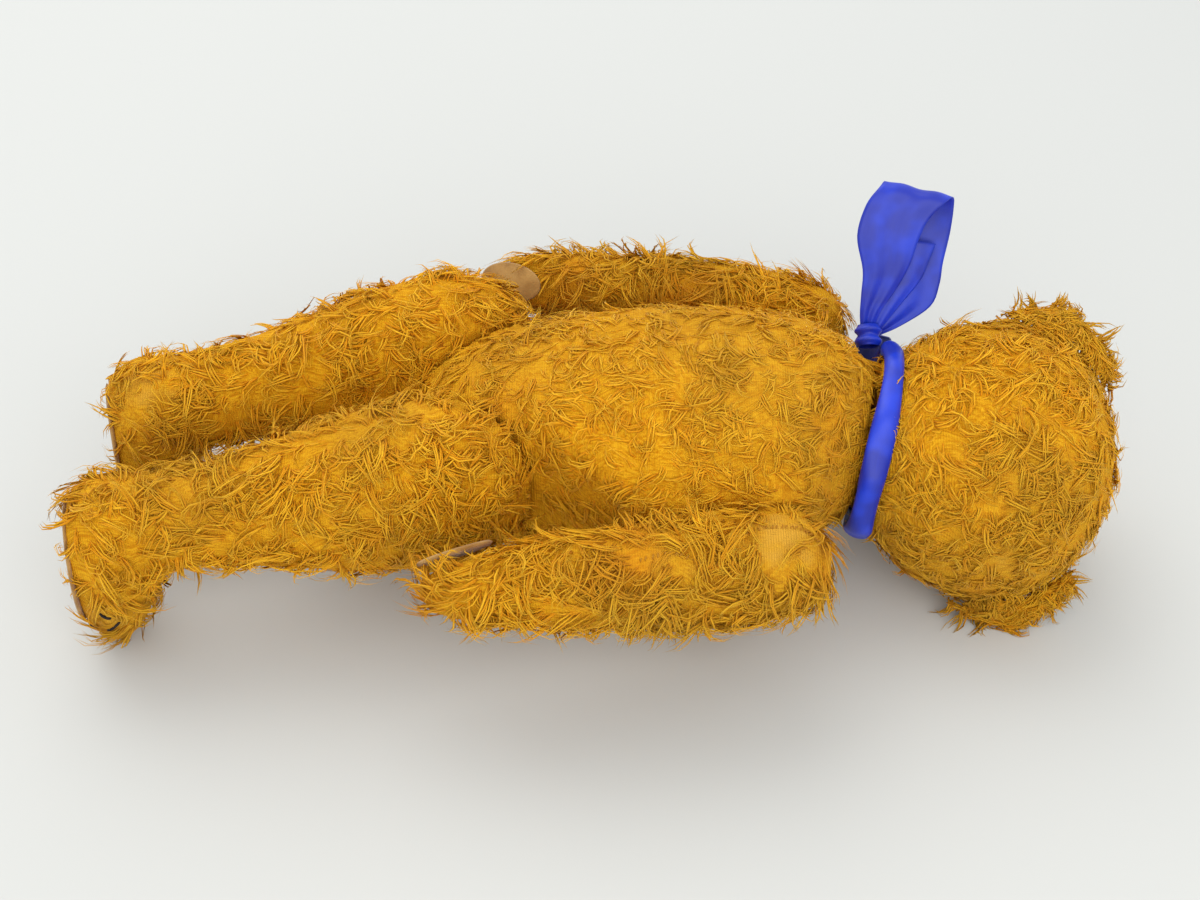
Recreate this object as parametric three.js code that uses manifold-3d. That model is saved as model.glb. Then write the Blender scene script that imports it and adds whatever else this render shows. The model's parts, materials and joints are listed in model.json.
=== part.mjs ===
// A jointed mohair teddy bear, lying face down with its head turned to one side.
// Six stuffed cloth covers hang on five disc joints, each a cotter pin through two discs and two washers.
// Units are millimetres. +Z is up, the crown points along +X, and the bear's right side faces -Y.
import * as THREE from "three";
import { mergeVertices } from "three/addons/utils/BufferGeometryUtils.js";
import Module from "manifold-3d";

const wasm = await Module();
wasm.setup();

// Cloth and clearances.
const GAP = 0.3; // between two pieces that touch
const WELD = 0.03; // points of one piece closer than this are one point
const WALL = 4; // mohair cloth with its pile pressed flat
const FILL_GAP = 0.4; // between a cover and its filling
const PAD_THICK = 3; // felt of a paw or sole pad

// Joint hardware, the same at all five joints apart from the disc's radius.
const PIN_RADIUS = 1.8;
const PIN_HOLE = 2.6;
const DISC_THICK = 3;
const WASHER_THICK = 1.2;
const WASHER_RADIUS = 10;
const PIN_EYE_RADIUS = 4; // the ring at the pin's head
const CURL_REACH = 8; // how far each curled pin end reaches from the axis
const POCKET_MARGIN = 1; // room round a disc in the filling
const POCKET_DEPTH = 20; // room behind a disc for its washer and the pin's end
const HIDDEN_SIDES = { pin: 6, washer: 12, disc: 16 };

// The five joints: a point on the plane where two covers meet, and the way from the torso to the limb.
const HIP_SLANT = 34; // degrees, the torso tapers to the crotch
const CROTCH = new THREE.Vector3(-96, 10, 69);
const HIP_FROM_CROTCH = 48; // along the slanted side of the torso
const JOINTS = {
  neck: { at: new THREE.Vector3(122, -1, 68), out: new THREE.Vector3(0.965, -0.16, -0.08), disc: 26 },
  right_shoulder: shoulderJoint(-1, new THREE.Vector3(74, -62, 73), 4),
  left_shoulder: shoulderJoint(1, new THREE.Vector3(86, 59, 71), 12.5),
  right_hip: hipJoint(-1),
  left_hip: hipJoint(1),
};
JOINTS.neck.out.normalize();

/** A shoulder whose plane widens toward the belly by a slant in degrees. */
function shoulderJoint(side, at, slantDegrees) {
  const slant = THREE.MathUtils.degToRad(slantDegrees);
  const out = new THREE.Vector3(Math.sin(slant), side * Math.cos(slant), 0);
  return { at, out, disc: 16 };
}

/** A hip on the slanted side of the torso. */
function hipJoint(side) {
  const slant = THREE.MathUtils.degToRad(HIP_SLANT);
  const out = new THREE.Vector3(-Math.sin(slant), side * Math.cos(slant), 0);
  const along = new THREE.Vector3(Math.cos(slant), side * Math.sin(slant), 0);
  return { at: CROTCH.clone().addScaledVector(along, HIP_FROM_CROTCH), out, disc: 24 };
}

// Stuffed forms, as stations from the +X end: [along, half width, half depth, sideways, lift].
const TORSO_LIE = 64; // height of the torso's axis above what the bear lies on
const TORSO = [
  [137, 0, 0, -1, 3],
  [133, 32, 32, -1, 3],
  [118, 48, 49, -1, 3],
  [98, 64, 60, 0, 1],
  [65, 70, 66, 0, 0],
  [25, 71, 66, 0, 0],
  [-15, 69, 61, 0, 0],
  [-50, 57, 51, 2, 0],
  [-76, 37, 36, 4, 1],
  [-89, 16, 20, 5, 0],
  [-93, 0, 0, 5, 0],
];
const NECK_TAPER = [
  [5, 0],
  [4, 36],
  [0, 39],
  [-8, 45],
  [-16, 57],
  [-40, 95],
  [-250, 110],
  [-260, 0],
]; // how far the torso reaches from the neck's axis: [along the axis, radius]
const HEAD = [
  [119, 0, 0],
  [117, 15, 14],
  [109, 37, 34],
  [94, 56, 51],
  [72, 67, 60],
  [46, 67, 59],
  [22, 58, 52],
  [9, 46, 44],
  [-2, 36, 36],
  [-9, 0, 0],
];
const SNOUT = [
  [86, 0, 0],
  [83, 12, 10],
  [74, 20, 17],
  [58, 26, 23],
  [40, 30, 28],
  [22, 18, 18],
  [20, 0, 0],
];
const ARM = [
  [28, 0, 0, -2],
  [26, 13, 13, -3],
  [17, 24, 23, -4],
  [-2, 29, 28, -4],
  [-32, 28, 29, -2],
  [-64, 25, 28],
  [-98, 22, 25],
  [-128, 19, 21, 0, 1],
  [-150, 12, 14, 0, 2],
  [-159, 0, 0, 0, 2],
];
const LEG = [
  [48, 0, 0],
  [45, 16, 22],
  [30, 30, 41],
  [2, 37, 50],
  [-32, 36, 45],
  [-66, 32, 36],
  [-100, 26, 28],
  [-134, 24, 26],
  [-160, 21, 22],
  [-172, 0, 0],
];
const FOOT = [
  [29, 0, 0],
  [26, 16, 15],
  [14, 27, 25],
  [-8, 30, 28],
  [-32, 29, 24, 0, 3],
  [-54, 25, 18, 0, 8],
  [-67, 15, 11, 0, 10],
  [-72, 0, 0, 0, 11],
];

// How finely each form is turned.
const FINENESS = {
  torso: { sides: 18, rings: 10 },
  head: { sides: 16, rings: 8 },
  snout: { sides: 10, rings: 6 },
  arm: { sides: 12, rings: 9 },
  leg: { sides: 12, rings: 9 },
  foot: { sides: 10, rings: 6 },
};
const TURNED_SIDES = 16; // of a shoulder spot, a disc's pocket and the neck's taper
const BALL = { sides: 8, rings: 6 }; // of an eye, the nose and the ribbon's knot

// Where the limbs lie.
const ARM_OUTBOARD = 24; // from the shoulder plane to the arm's axis
const ARM_SHIFT = { right: 0, left: 7 }; // how far each arm's form is set toward the head
const SHOULDER_SPOT = 33; // radius of the flat where an arm presses on the torso
const SHOULDER_STEP = 5; // how far the rest of the arm stays off that flat's plane
const LEG_HEIGHT = 71;
const LEGS = {
  right: { at: new THREE.Vector3(-75, -32, LEG_HEIGHT), yaw: 11 },
  left: { at: new THREE.Vector3(-75, 54, LEG_HEIGHT), yaw: 15 },
};
const FOOT_ALONG = -141; // the foot's axis, from the hip
const SOLE_ALONG = -165; // the flat sole, from the hip
const SOLE_TILT = -4; // degrees, the toe lies a little further from the body than the heel
const SOLE_PAD = { long: 38, wide: 23, lift: -18 };
const PAW_PAD = { long: 19, wide: 11, along: -133, out: 14.5 };
const PAW_FACES = { along: -0.25, upward: -0.8, outward: 0.55 }; // the way a paw pad looks, in its arm's frame
const HEAD_BACK = new THREE.Vector3(0, 0.7, 0.8); // the far ear's way, a quarter turn from the face
const SNOUT_FROM_NECK = 50;
const EAR_FROM_NECK = 74;
const EAR = { radius: 37, sphere: 47, thick: 8, reach: 42, forward: 6, lean: 0.25, sides: 18, rings: 12 };
const EYE = { radius: 6, aside: 22, fromNeck: 66, out: 53 };
const NOSE = { wide: 12, high: 8, thick: 4, out: 83, lift: 5 };
const RIBBON = { thick: 1.2, band: 13, shift: 2.5, inner: 45, dip: 3, width: 33, bow: 5, sides: 20 };
const KNOT = { reach: 5, wide: 8, long: 7, above: 2, along: 3 };
const BOW_WAY = new THREE.Vector3(0, 1, 0.75); // from the neck's axis to the knot
const BOW_ACROSS = new THREE.Vector3(0, -0.75, 1);
const LOOP_STEPS = 16;
// Edges of the bow, seen along the neck: [above the neck's band, across].
const LOOP = [[0, 0], [14, 8], [40, 16], [60, 20], [66, 30], [58, 38], [36, 32], [14, 12], [0, 4]];
const TAIL = [[0, 0], [6, -18], [-4, -44], [-20, -66]];
const TAIL_WIDTH = 0.6; // of the ribbon's width, as the tail lies turned

const ROOM = 800; // larger than the bear

// Shape helpers.

/** A geometry's closed solid, with shared vertices merged and collapsed triangles dropped. */
function solidOf(geometry) {
  const shape = geometry.clone();
  shape.deleteAttribute("normal");
  shape.deleteAttribute("uv");
  const merged = withoutSlivers(mergeVertices(shape, 1e-3));
  const triVerts = new Uint32Array(merged.index.array);
  const vertProperties = new Float32Array(merged.attributes.position.array);
  const solid = new wasm.Manifold(new wasm.Mesh({ numProp: 3, vertProperties, triVerts }));
  if (solid.volume() < 0) throw new Error("a form is inside out");
  return solid;
}

/** The geometry without the triangles that shrank to a line at a pole. */
function withoutSlivers(geometry) {
  const old = geometry.index.array;
  const kept = [];
  for (let i = 0; i < old.length; i += 3) {
    const [a, b, c] = old.slice(i, i + 3);
    if (a !== b && b !== c && c !== a) kept.push(a, b, c);
  }
  return geometry.setIndex(kept);
}

/** A solid's geometry, for a mesh. */
function geometryOf(solid) {
  const mesh = solid.getMesh();
  const geometry = new THREE.BufferGeometry();
  geometry.setAttribute("position", new THREE.BufferAttribute(mesh.vertProperties, 3));
  geometry.setIndex(new THREE.BufferAttribute(mesh.triVerts, 1));
  return geometry;
}

/** A matrix that takes local X, Y and Z to the given directions and the origin to a point. */
function placing(at, x, y) {
  const z = new THREE.Vector3().crossVectors(x, y).normalize();
  const square = new THREE.Vector3().crossVectors(z, x).normalize();
  return new THREE.Matrix4().makeBasis(x.clone().normalize(), square, z).setPosition(at);
}

/** A matrix that takes local +Z to a direction, for pieces turned about a joint's axis. */
function facing(at, direction) {
  const turn = new THREE.Quaternion().setFromUnitVectors(new THREE.Vector3(0, 0, 1), direction);
  return new THREE.Matrix4().makeRotationFromQuaternion(turn).setPosition(at);
}

/** A lathe about local +X through the stations, its rings flattened and shifted as they say. */
function stuffedForm(stations, { sides, rings }) {
  const points = stations.map(([along, wide, deep]) => new THREE.Vector3(along, wide, deep));
  const shifts = stations.map(([, , , aside = 0, lift = 0]) => new THREE.Vector3(0, aside, lift));
  const sizeAt = new THREE.CatmullRomCurve3(points);
  const shiftAt = new THREE.CatmullRomCurve3(shifts, false, "catmullrom");
  const ringSizes = Array.from({ length: rings + 1 }, (_, i) => sizeAt.getPoint(i / rings));
  const ringShifts = Array.from({ length: rings + 1 }, (_, i) => shiftAt.getPoint(i / rings));
  const profile = ringSizes.map((size) => new THREE.Vector2(Math.abs(size.z), size.x));
  const lathe = new THREE.LatheGeometry(profile, sides);
  const place = lathe.attributes.position;
  for (let i = 0; i < place.count; i++) {
    const ring = i % (rings + 1);
    const size = ringSizes[ring];
    const flatten = size.z > 0 ? size.y / size.z : 0;
    const shift = ringShifts[ring];
    place.setXYZ(i, place.getY(i), flatten * place.getX(i) + shift.y, place.getZ(i) + shift.z);
  }
  return lathe;
}

/** The form with every vertex moved in along its normal. */
function shrunk(form, inset) {
  const shape = form.clone();
  shape.deleteAttribute("normal");
  shape.deleteAttribute("uv");
  const merged = withoutSlivers(mergeVertices(shape, 1e-3));
  merged.computeVertexNormals();
  const place = merged.attributes.position;
  const normal = merged.attributes.normal;
  for (let i = 0; i < place.count; i++) {
    place.setXYZ(
      i,
      place.getX(i) - inset * normal.getX(i),
      place.getY(i) - inset * normal.getY(i),
      place.getZ(i) - inset * normal.getZ(i),
    );
  }
  return solidOf(merged);
}

/** The part of a solid that lies behind a plane. */
function cutBehind(solid, at, out, inset) {
  const block = new THREE.BoxGeometry(ROOM, ROOM, ROOM).translate(0, 0, -ROOM / 2 - inset);
  return solid.intersect(solidOf(block.applyMatrix4(facing(at, out))));
}

/** A cylinder on an axis, from one height above a point to another. */
function rod(at, direction, radius, from, to, sides = TURNED_SIDES) {
  const body = new THREE.CylinderGeometry(radius, radius, to - from, sides);
  body.rotateX(Math.PI / 2).translate(0, 0, (from + to) / 2);
  return solidOf(body.applyMatrix4(facing(at, direction)));
}

// The outer form of each stuffed body, or the same form a few millimetres in.

const FLOOR = { at: new THREE.Vector3(0, 0, 0), out: new THREE.Vector3(0, 0, -1) };
const { neck } = JOINTS;
const HEAD_PLACE = placing(neck.at, neck.out, HEAD_BACK);
const toHead = (along, aside, back) => new THREE.Vector3(along, aside, back).applyMatrix4(HEAD_PLACE);
const FACE = new THREE.Vector3(0, 0, -1).transformDirection(HEAD_PLACE);
const EAR_WAY = new THREE.Vector3(0, 1, 0).transformDirection(HEAD_PLACE);

/** The room that the turning head and ribbon leave for the torso's neck end. */
function neckTaper(inset) {
  const profile = NECK_TAPER.map(([along, radius]) => new THREE.Vector2(radius, along)).reverse();
  const lathe = new THREE.LatheGeometry(profile, TURNED_SIDES).rotateX(Math.PI / 2);
  return shrunk(lathe.applyMatrix4(facing(neck.at, neck.out)), inset);
}

function torsoForm(inset) {
  const form = stuffedForm(TORSO, FINENESS.torso).translate(0, 0, TORSO_LIE);
  const shoulders = [JOINTS.right_shoulder, JOINTS.left_shoulder];
  const swept = shoulders.map(({ at, out }) => ({
    at: at.clone().addScaledVector(out, SHOULDER_STEP - GAP),
    out,
  }));
  const body = [neck, JOINTS.right_hip, JOINTS.left_hip, ...swept].reduce(
    (solid, { at, out }) => cutBehind(solid, at, out, inset + GAP / 2),
    cutBehind(shrunk(form, inset).intersect(neckTaper(inset)), FLOOR.at, FLOOR.out, inset),
  );
  const corner = Math.cos(Math.PI / TURNED_SIDES); // so that the turned flat's corners clear the hollow's sides
  const hollow = (SHOULDER_SPOT + GAP + inset) / corner;
  const spots = shoulders.map(({ at, out }) => rod(at, out, hollow, -inset - GAP / 2, SHOULDER_SPOT));
  return spots.reduce((solid, spot) => solid.subtract(spot), body);
}

function headForm(inset) {
  const skull = stuffedForm(HEAD, FINENESS.head).applyMatrix4(HEAD_PLACE);
  const base = toHead(SNOUT_FROM_NECK, 0, 0);
  const muzzle = stuffedForm(SNOUT, FINENESS.snout);
  muzzle.applyMatrix4(placing(base, FACE, EAR_WAY));
  const body = shrunk(skull, inset).add(shrunk(muzzle, inset));
  const joined = cutBehind(body, neck.at, neck.out.clone().negate(), inset + GAP / 2);
  return cutBehind(joined, FLOOR.at, FLOOR.out, inset);
}

function armFrame(side) {
  const { at, out } = JOINTS[side > 0 ? "left_shoulder" : "right_shoulder"];
  const upward = new THREE.Vector3(0, 0, 1);
  const along = new THREE.Vector3().crossVectors(out, upward).multiplyScalar(side).normalize();
  return placing(at.clone().addScaledVector(out, ARM_OUTBOARD), along, out);
}

/** The plane of the paw pad, which faces the bear's side, its back and a little toward the paw's tip. */
function pawPlane(side) {
  const frame = armFrame(side);
  const { along, upward, outward } = PAW_FACES;
  const out = new THREE.Vector3(along, upward, side * outward).transformDirection(frame);
  const middle = new THREE.Vector3(PAW_PAD.along, 0, 0).applyMatrix4(frame);
  return { at: middle.addScaledVector(out, PAW_PAD.out), out };
}

function armForm(side, inset) {
  const name = side > 0 ? "left" : "right";
  const form = stuffedForm(ARM, FINENESS.arm).translate(ARM_SHIFT[name], 0, 0);
  const { at, out } = JOINTS[`${name}_shoulder`];
  const whole = shrunk(form.applyMatrix4(armFrame(side)), inset);
  const clear = rod(at, out, SHOULDER_SPOT - inset, inset + GAP / 2, SHOULDER_STEP + inset + 1);
  const inward = out.clone().negate();
  const body = cutBehind(whole, at, inward, inset + SHOULDER_STEP).add(whole.intersect(clear));
  const palm = pawPlane(side);
  return cutBehind(body, palm.at, palm.out, inset);
}

function legFrame(name) {
  const { at, yaw } = LEGS[name];
  const turn = THREE.MathUtils.degToRad(yaw);
  const along = new THREE.Vector3(Math.cos(turn), Math.sin(turn), 0);
  const aside = new THREE.Vector3(-Math.sin(turn), Math.cos(turn), 0);
  return placing(at, along, aside);
}

function solePlane(name) {
  const frame = legFrame(name);
  const tilt = THREE.MathUtils.degToRad(SOLE_TILT);
  const out = new THREE.Vector3(-Math.cos(tilt), 0, -Math.sin(tilt)).transformDirection(frame);
  const at = new THREE.Vector3(SOLE_ALONG, 0, SOLE_PAD.lift).applyMatrix4(frame);
  return { at, out };
}

function legForm(name, inset) {
  const frame = legFrame(name);
  const shank = stuffedForm(LEG, FINENESS.leg).applyMatrix4(frame);
  const foot = stuffedForm(FOOT, FINENESS.foot);
  foot.rotateY(-Math.PI / 2).translate(FOOT_ALONG, 0, 0).applyMatrix4(frame);
  const hip = JOINTS[name + "_hip"];
  const sole = solePlane(name);
  const body = shrunk(shank, inset).add(shrunk(foot, inset));
  const joined = cutBehind(body, hip.at, hip.out.clone().negate(), inset + GAP / 2);
  const soled = cutBehind(joined, sole.at, sole.out, inset);
  return cutBehind(soled, FLOOR.at, FLOOR.out, inset);
}

// Pieces.

const bear = new THREE.Group();

function addPiece(name, solid, { color, roughness, metalness = 0 }) {
  const material = new THREE.MeshStandardMaterial({ color, roughness, metalness });
  const piece = new THREE.Mesh(withoutSlivers(mergeVertices(geometryOf(solid), WELD)), material);
  piece.name = name;
  bear.add(piece);
}

const MOHAIR = { color: 0xc68c19, roughness: 0.85 };
const WOOD_WOOL = { color: 0xc9b078, roughness: 0.95 };
const FIBREBOARD = { color: 0x8a6a45, roughness: 0.9 };
const STEEL = { color: 0x9a9a98, roughness: 0.4, metalness: 0.9 };
const FELT = { color: 0xcaa58c, roughness: 0.95 };
const GLASS = { color: 0x2a1608, roughness: 0.05 };
const THREAD = { color: 0x1c1712, roughness: 0.8 };
const SATIN = { color: 0x2a31b4, roughness: 0.3 };

/** The room for a joint's disc, washer and pin behind a cover's inner face. */
function pocket({ at, disc }, inward) {
  return rod(at, inward, disc + POCKET_MARGIN, 0, POCKET_DEPTH);
}

/** An ellipse's plate on a plane, from one depth behind it to another. */
function plate({ at, out }, up, halfUp, halfWide, from, to) {
  const outline = new THREE.Shape().absellipse(0, 0, halfUp, halfWide, 0, Math.PI * 2);
  const settings = { depth: to - from, bevelEnabled: false, curveSegments: 10 };
  const body = new THREE.ExtrudeGeometry(outline, settings).translate(0, 0, from);
  const level = up.clone().addScaledVector(out, -up.dot(out));
  return solidOf(body.applyMatrix4(placing(at, level, new THREE.Vector3().crossVectors(out, level))));
}

/** A cotter pin: an eye outside the limb's washer, a shank, and two ends curled back on the torso's. */
function cotterPin({ at, out }) {
  const end = GAP / 2 + WALL + GAP + DISC_THICK + GAP + WASHER_THICK + GAP;
  const shank = rod(at, out, PIN_RADIUS, -end - 1, end + 1, HIDDEN_SIDES.pin);
  const eye = new THREE.TorusGeometry(PIN_EYE_RADIUS - PIN_RADIUS, PIN_RADIUS, 5, 8);
  eye.rotateX(Math.PI / 2).translate(0, 0, end + PIN_EYE_RADIUS);
  const wire = new THREE.Shape().absarc(0, 0, PIN_RADIUS / 2, 0, Math.PI * 2);
  const curls = [-1, 1].map((way) => {
    const reach = way * CURL_REACH;
    const extrudePath = new THREE.CatmullRomCurve3([
      new THREE.Vector3(0, 0, -end),
      new THREE.Vector3(reach / 3, 0, -end - 2.4),
      new THREE.Vector3(reach * 0.8, 0, -end - 2),
      new THREE.Vector3(reach, 0, -end - 4.5),
      new THREE.Vector3(reach * 0.7, 0, -end - 6),
    ]);
    const curl = new THREE.ExtrudeGeometry(wire, { steps: 4, curveSegments: 3, extrudePath });
    return solidOf(curl.applyMatrix4(facing(at, out)));
  });
  return curls.reduce((pin, curl) => pin.add(curl), shank.add(solidOf(eye.applyMatrix4(facing(at, out)))));
}

function addJoint(name, joint) {
  const { at, out, disc } = joint;
  const near = GAP / 2 + WALL + GAP;
  const far = near + DISC_THICK + GAP;
  for (const [part, way] of [["limb", out], ["body", out.clone().negate()]]) {
    const bore = rod(at, way, PIN_HOLE, 0, far + 2 * WASHER_THICK, HIDDEN_SIDES.pin);
    const board = rod(at, way, disc, near, near + DISC_THICK, HIDDEN_SIDES.disc);
    const ring = rod(at, way, WASHER_RADIUS, far, far + WASHER_THICK, HIDDEN_SIDES.washer);
    addPiece(`${name}_${part}_disc`, board.subtract(bore), FIBREBOARD);
    addPiece(`${name}_${part}_washer`, ring.subtract(bore), STEEL);
  }
  addPiece(`${name}_cotter_pin`, cotterPin(joint), STEEL);
}

/** A cover round its filling, with holes for the joints' pins, pockets behind them and what is fitted in. */
function addStuffed(name, form, joints, fitted = []) {
  const hollow = form(WALL);
  const holes = joints.map(({ at, out }) => rod(at, out, PIN_HOLE, -2 * WALL, 2 * WALL, HIDDEN_SIDES.pin));
  const cover = [hollow, ...holes, ...fitted].reduce((solid, cut) => solid.subtract(cut), form(0));
  addPiece(`${name}_cover`, cover, MOHAIR);
  const inside = name === "torso" ? -1 : 1;
  const pockets = joints.map((joint) => pocket(joint, joint.out.clone().multiplyScalar(inside)));
  const filling = [...pockets, ...fitted].reduce(
    (solid, cut) => solid.subtract(cut),
    form(WALL + FILL_GAP),
  );
  addPiece(`${name}_stuffing`, filling, WOOD_WOOL);
}

function addTorso() {
  addStuffed("torso", torsoForm, Object.values(JOINTS));
}

function addArm(name, side) {
  const palm = pawPlane(side);
  const along = new THREE.Vector3(1, 0, 0).transformDirection(armFrame(side));
  const { long, wide } = PAW_PAD;
  const opening = plate(palm, along, long + GAP, wide + GAP, -WALL - GAP, WALL);
  const pad = plate(palm, along, long, wide, -PAD_THICK, 0);
  const joint = JOINTS[`${name}_shoulder`];
  addStuffed(`${name}_arm`, (inset) => armForm(side, inset), [joint], [opening]);
  addPiece(`${name}_paw_pad`, pad, FELT);
}

function addLeg(name) {
  const sole = solePlane(name);
  const up = new THREE.Vector3(0, 0, 1);
  const { long, wide } = SOLE_PAD;
  const opening = plate(sole, up, long + GAP, wide + GAP, -WALL - GAP, WALL);
  const pad = plate(sole, up, long, wide, -PAD_THICK, 0);
  addStuffed(`${name}_leg`, (inset) => legForm(name, inset), [JOINTS[`${name}_hip`]], [opening]);
  addPiece(`${name}_sole_pad`, pad, FELT);
}

/** A half bowl of doubled cloth, open toward the face, sewn to the head along its cut edge. */
function ear(side) {
  const { radius, sphere, thick, reach, forward, lean, sides, rings } = EAR;
  const rise = Math.sqrt(sphere ** 2 - radius ** 2);
  const outer = solidOf(new THREE.SphereGeometry(sphere, sides, rings));
  const inner = solidOf(new THREE.SphereGeometry(sphere - thick, sides, rings));
  const bowl = cutBehind(
    cutBehind(outer.subtract(inner), new THREE.Vector3(0, 0, rise), new THREE.Vector3(0, 0, -1), 0),
    new THREE.Vector3(0, 0, 0),
    new THREE.Vector3(0, -1, 0),
    0,
  );
  const root = toHead(EAR_FROM_NECK, side * reach, -forward);
  const outward = new THREE.Vector3(lean, side, 0).transformDirection(HEAD_PLACE);
  const crown = new THREE.Vector3(1, -lean * side, 0).transformDirection(HEAD_PLACE);
  const frame = placing(root, crown.multiplyScalar(side), outward);
  const back = new THREE.Matrix4().makeTranslation(0, 0, -rise);
  const sewn = geometrySolid(bowl, frame.multiply(back)).subtract(headForm(-GAP));
  return cutBehind(sewn, FLOOR.at, FLOOR.out, 0);
}

/** A solid moved by a matrix. */
function geometrySolid(solid, matrix) {
  return solidOf(geometryOf(solid).applyMatrix4(matrix));
}

function eyeball(side, radius) {
  const { aside, fromNeck, out } = EYE;
  const ball = new THREE.SphereGeometry(radius, BALL.sides, BALL.rings);
  const centre = toHead(fromNeck, side * aside, -out);
  return solidOf(ball.translate(centre.x, centre.y, centre.z));
}

function noseForm(margin) {
  const { wide, high, thick, out, lift } = NOSE;
  const knob = new THREE.SphereGeometry(1, BALL.sides, BALL.rings);
  knob.scale(high + margin, wide + margin, thick + margin).translate(SNOUT_FROM_NECK + lift, 0, -out);
  const nose = solidOf(knob.applyMatrix4(HEAD_PLACE));
  return cutBehind(nose, FLOOR.at, FLOOR.out, -margin);
}

function addHead() {
  const fitted = [eyeball(-1, EYE.radius + GAP), eyeball(1, EYE.radius + GAP), noseForm(GAP)];
  addStuffed("head", headForm, [neck], fitted);
  addPiece("right_ear", ear(-1), MOHAIR);
  addPiece("left_ear", ear(1), MOHAIR);
  addPiece("right_glass_eye", eyeball(-1, EYE.radius), GLASS);
  addPiece("left_glass_eye", eyeball(1, EYE.radius), GLASS);
  addPiece("stitched_nose", noseForm(0), THREAD);
}

/** A ribbon seen edge on, given by the points of its middle line, cut to the ribbon's width. */
function ribbonLoop(frame, points, from, to) {
  const { thick } = RIBBON;
  const line = new THREE.SplineCurve(points.map(([x, y]) => new THREE.Vector2(x, y)));
  const middle = line.getPoints(LOOP_STEPS);
  const tangents = middle.map((_, i) => line.getTangent(i / LOOP_STEPS));
  const edge = (way) => middle.map((p, i) => new THREE.Vector2(
    p.x - (way * thick * tangents[i].y) / 2,
    p.y + (way * thick * tangents[i].x) / 2,
  ));
  const strip = new THREE.Shape([...edge(1), ...edge(-1).reverse()]);
  const sheet = new THREE.ExtrudeGeometry(strip, { depth: to - from, bevelEnabled: false });
  return solidOf(sheet.translate(0, 0, from).applyMatrix4(frame));
}

function addRibbon() {
  const { thick, band, shift, inner, dip, bow, width, sides } = RIBBON;
  const half = band / 2;
  const profile = [
    [inner, -half],
    [inner + thick, -half],
    [inner - dip + thick, 0],
    [inner + thick, half],
    [inner, half],
    [inner - dip, 0],
    [inner, -half],
  ].map(([x, y]) => new THREE.Vector2(x, y));
  const ring = new THREE.LatheGeometry(profile, sides).rotateX(Math.PI / 2).translate(0, 0, shift);
  const bandSolid = solidOf(ring.applyMatrix4(facing(neck.at, neck.out)));
  const upward = BOW_WAY.clone().projectOnPlane(neck.out);
  const knotFrame = placing(neck.at, upward, new THREE.Vector3().crossVectors(neck.out, upward));
  const knot = new THREE.SphereGeometry(1, BALL.sides, BALL.rings);
  knot.scale(KNOT.reach, KNOT.wide, KNOT.long).translate(inner + KNOT.above, 0, shift + KNOT.along);
  const knotSolid = solidOf(knot.applyMatrix4(knotFrame));
  const frame = placing(neck.at, BOW_WAY, BOW_ACROSS);
  const lifted = (points) => points.map(([above, across]) => [inner + above, across]);
  const loop = ribbonLoop(frame, lifted(LOOP), bow, bow + width);
  const tail = ribbonLoop(frame, lifted(TAIL), bow, bow + width * TAIL_WIDTH);
  const whole = [knotSolid, loop, tail].reduce((all, one) => all.add(one), bandSolid);
  addPiece("neck_ribbon", whole.subtract(headForm(-GAP)).subtract(torsoForm(-GAP)), SATIN);
}

addTorso();
addHead();
addArm("right", -1);
addArm("left", 1);
addLeg("right");
addLeg("left");
for (const [name, joint] of Object.entries(JOINTS)) addJoint(name, joint);
addRibbon();

// The origin is the middle of the bear's footprint, on the surface it lies on.
const box = new THREE.Box3().setFromObject(bear);
const middle = box.getCenter(new THREE.Vector3());
bear.position.set(-middle.x, -middle.y, 0);

export default bear;
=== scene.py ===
"""The looks of a threadbare mohair teddy bear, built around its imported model.

Each stuffed cover gets a soft skin in the place of its plain solid, and a pile of curly mohair locks grown
from that skin. The ribbon, the felt pads, the eyes, the nose and the stitches are pieces of their own.
Lengths are in metres, +Z is up, the crown points along +X, and the bear's right side faces -Y.
"""

import json
import logging
import math
from collections.abc import Callable, Iterable, Sequence
from dataclasses import dataclass, field
from enum import Enum

import bmesh
import bpy
import numpy as np
from mathutils import Matrix, Vector
from mathutils.bvhtree import BVHTree


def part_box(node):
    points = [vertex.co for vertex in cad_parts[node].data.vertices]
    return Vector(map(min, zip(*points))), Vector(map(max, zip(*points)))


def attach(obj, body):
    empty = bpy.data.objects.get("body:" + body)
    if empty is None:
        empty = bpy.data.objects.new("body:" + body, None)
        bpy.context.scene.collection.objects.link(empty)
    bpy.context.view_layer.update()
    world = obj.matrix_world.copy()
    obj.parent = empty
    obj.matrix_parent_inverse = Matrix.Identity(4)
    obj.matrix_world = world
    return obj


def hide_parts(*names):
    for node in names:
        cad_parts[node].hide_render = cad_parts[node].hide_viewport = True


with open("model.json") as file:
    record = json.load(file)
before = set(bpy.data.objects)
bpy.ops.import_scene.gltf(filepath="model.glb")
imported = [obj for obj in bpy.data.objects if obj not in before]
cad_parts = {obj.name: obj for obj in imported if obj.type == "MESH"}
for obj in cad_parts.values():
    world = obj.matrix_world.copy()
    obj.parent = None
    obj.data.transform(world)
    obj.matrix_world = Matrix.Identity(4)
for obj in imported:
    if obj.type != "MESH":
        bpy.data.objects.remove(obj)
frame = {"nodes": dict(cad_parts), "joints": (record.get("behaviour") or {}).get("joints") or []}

LOG = logging.getLogger("bear")
MM = 0.001
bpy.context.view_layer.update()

Colour = tuple[float, float, float]
Points = np.ndarray
Socket = bpy.types.NodeSocket
Inputs = dict[str | int, object]


class Side(Enum):
    """The bear's own two sides, with the sign of Y that each has."""

    RIGHT = -1
    LEFT = 1

    @property
    def word(self) -> str:
        """The side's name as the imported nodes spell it."""
        return self.name.lower()


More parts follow.
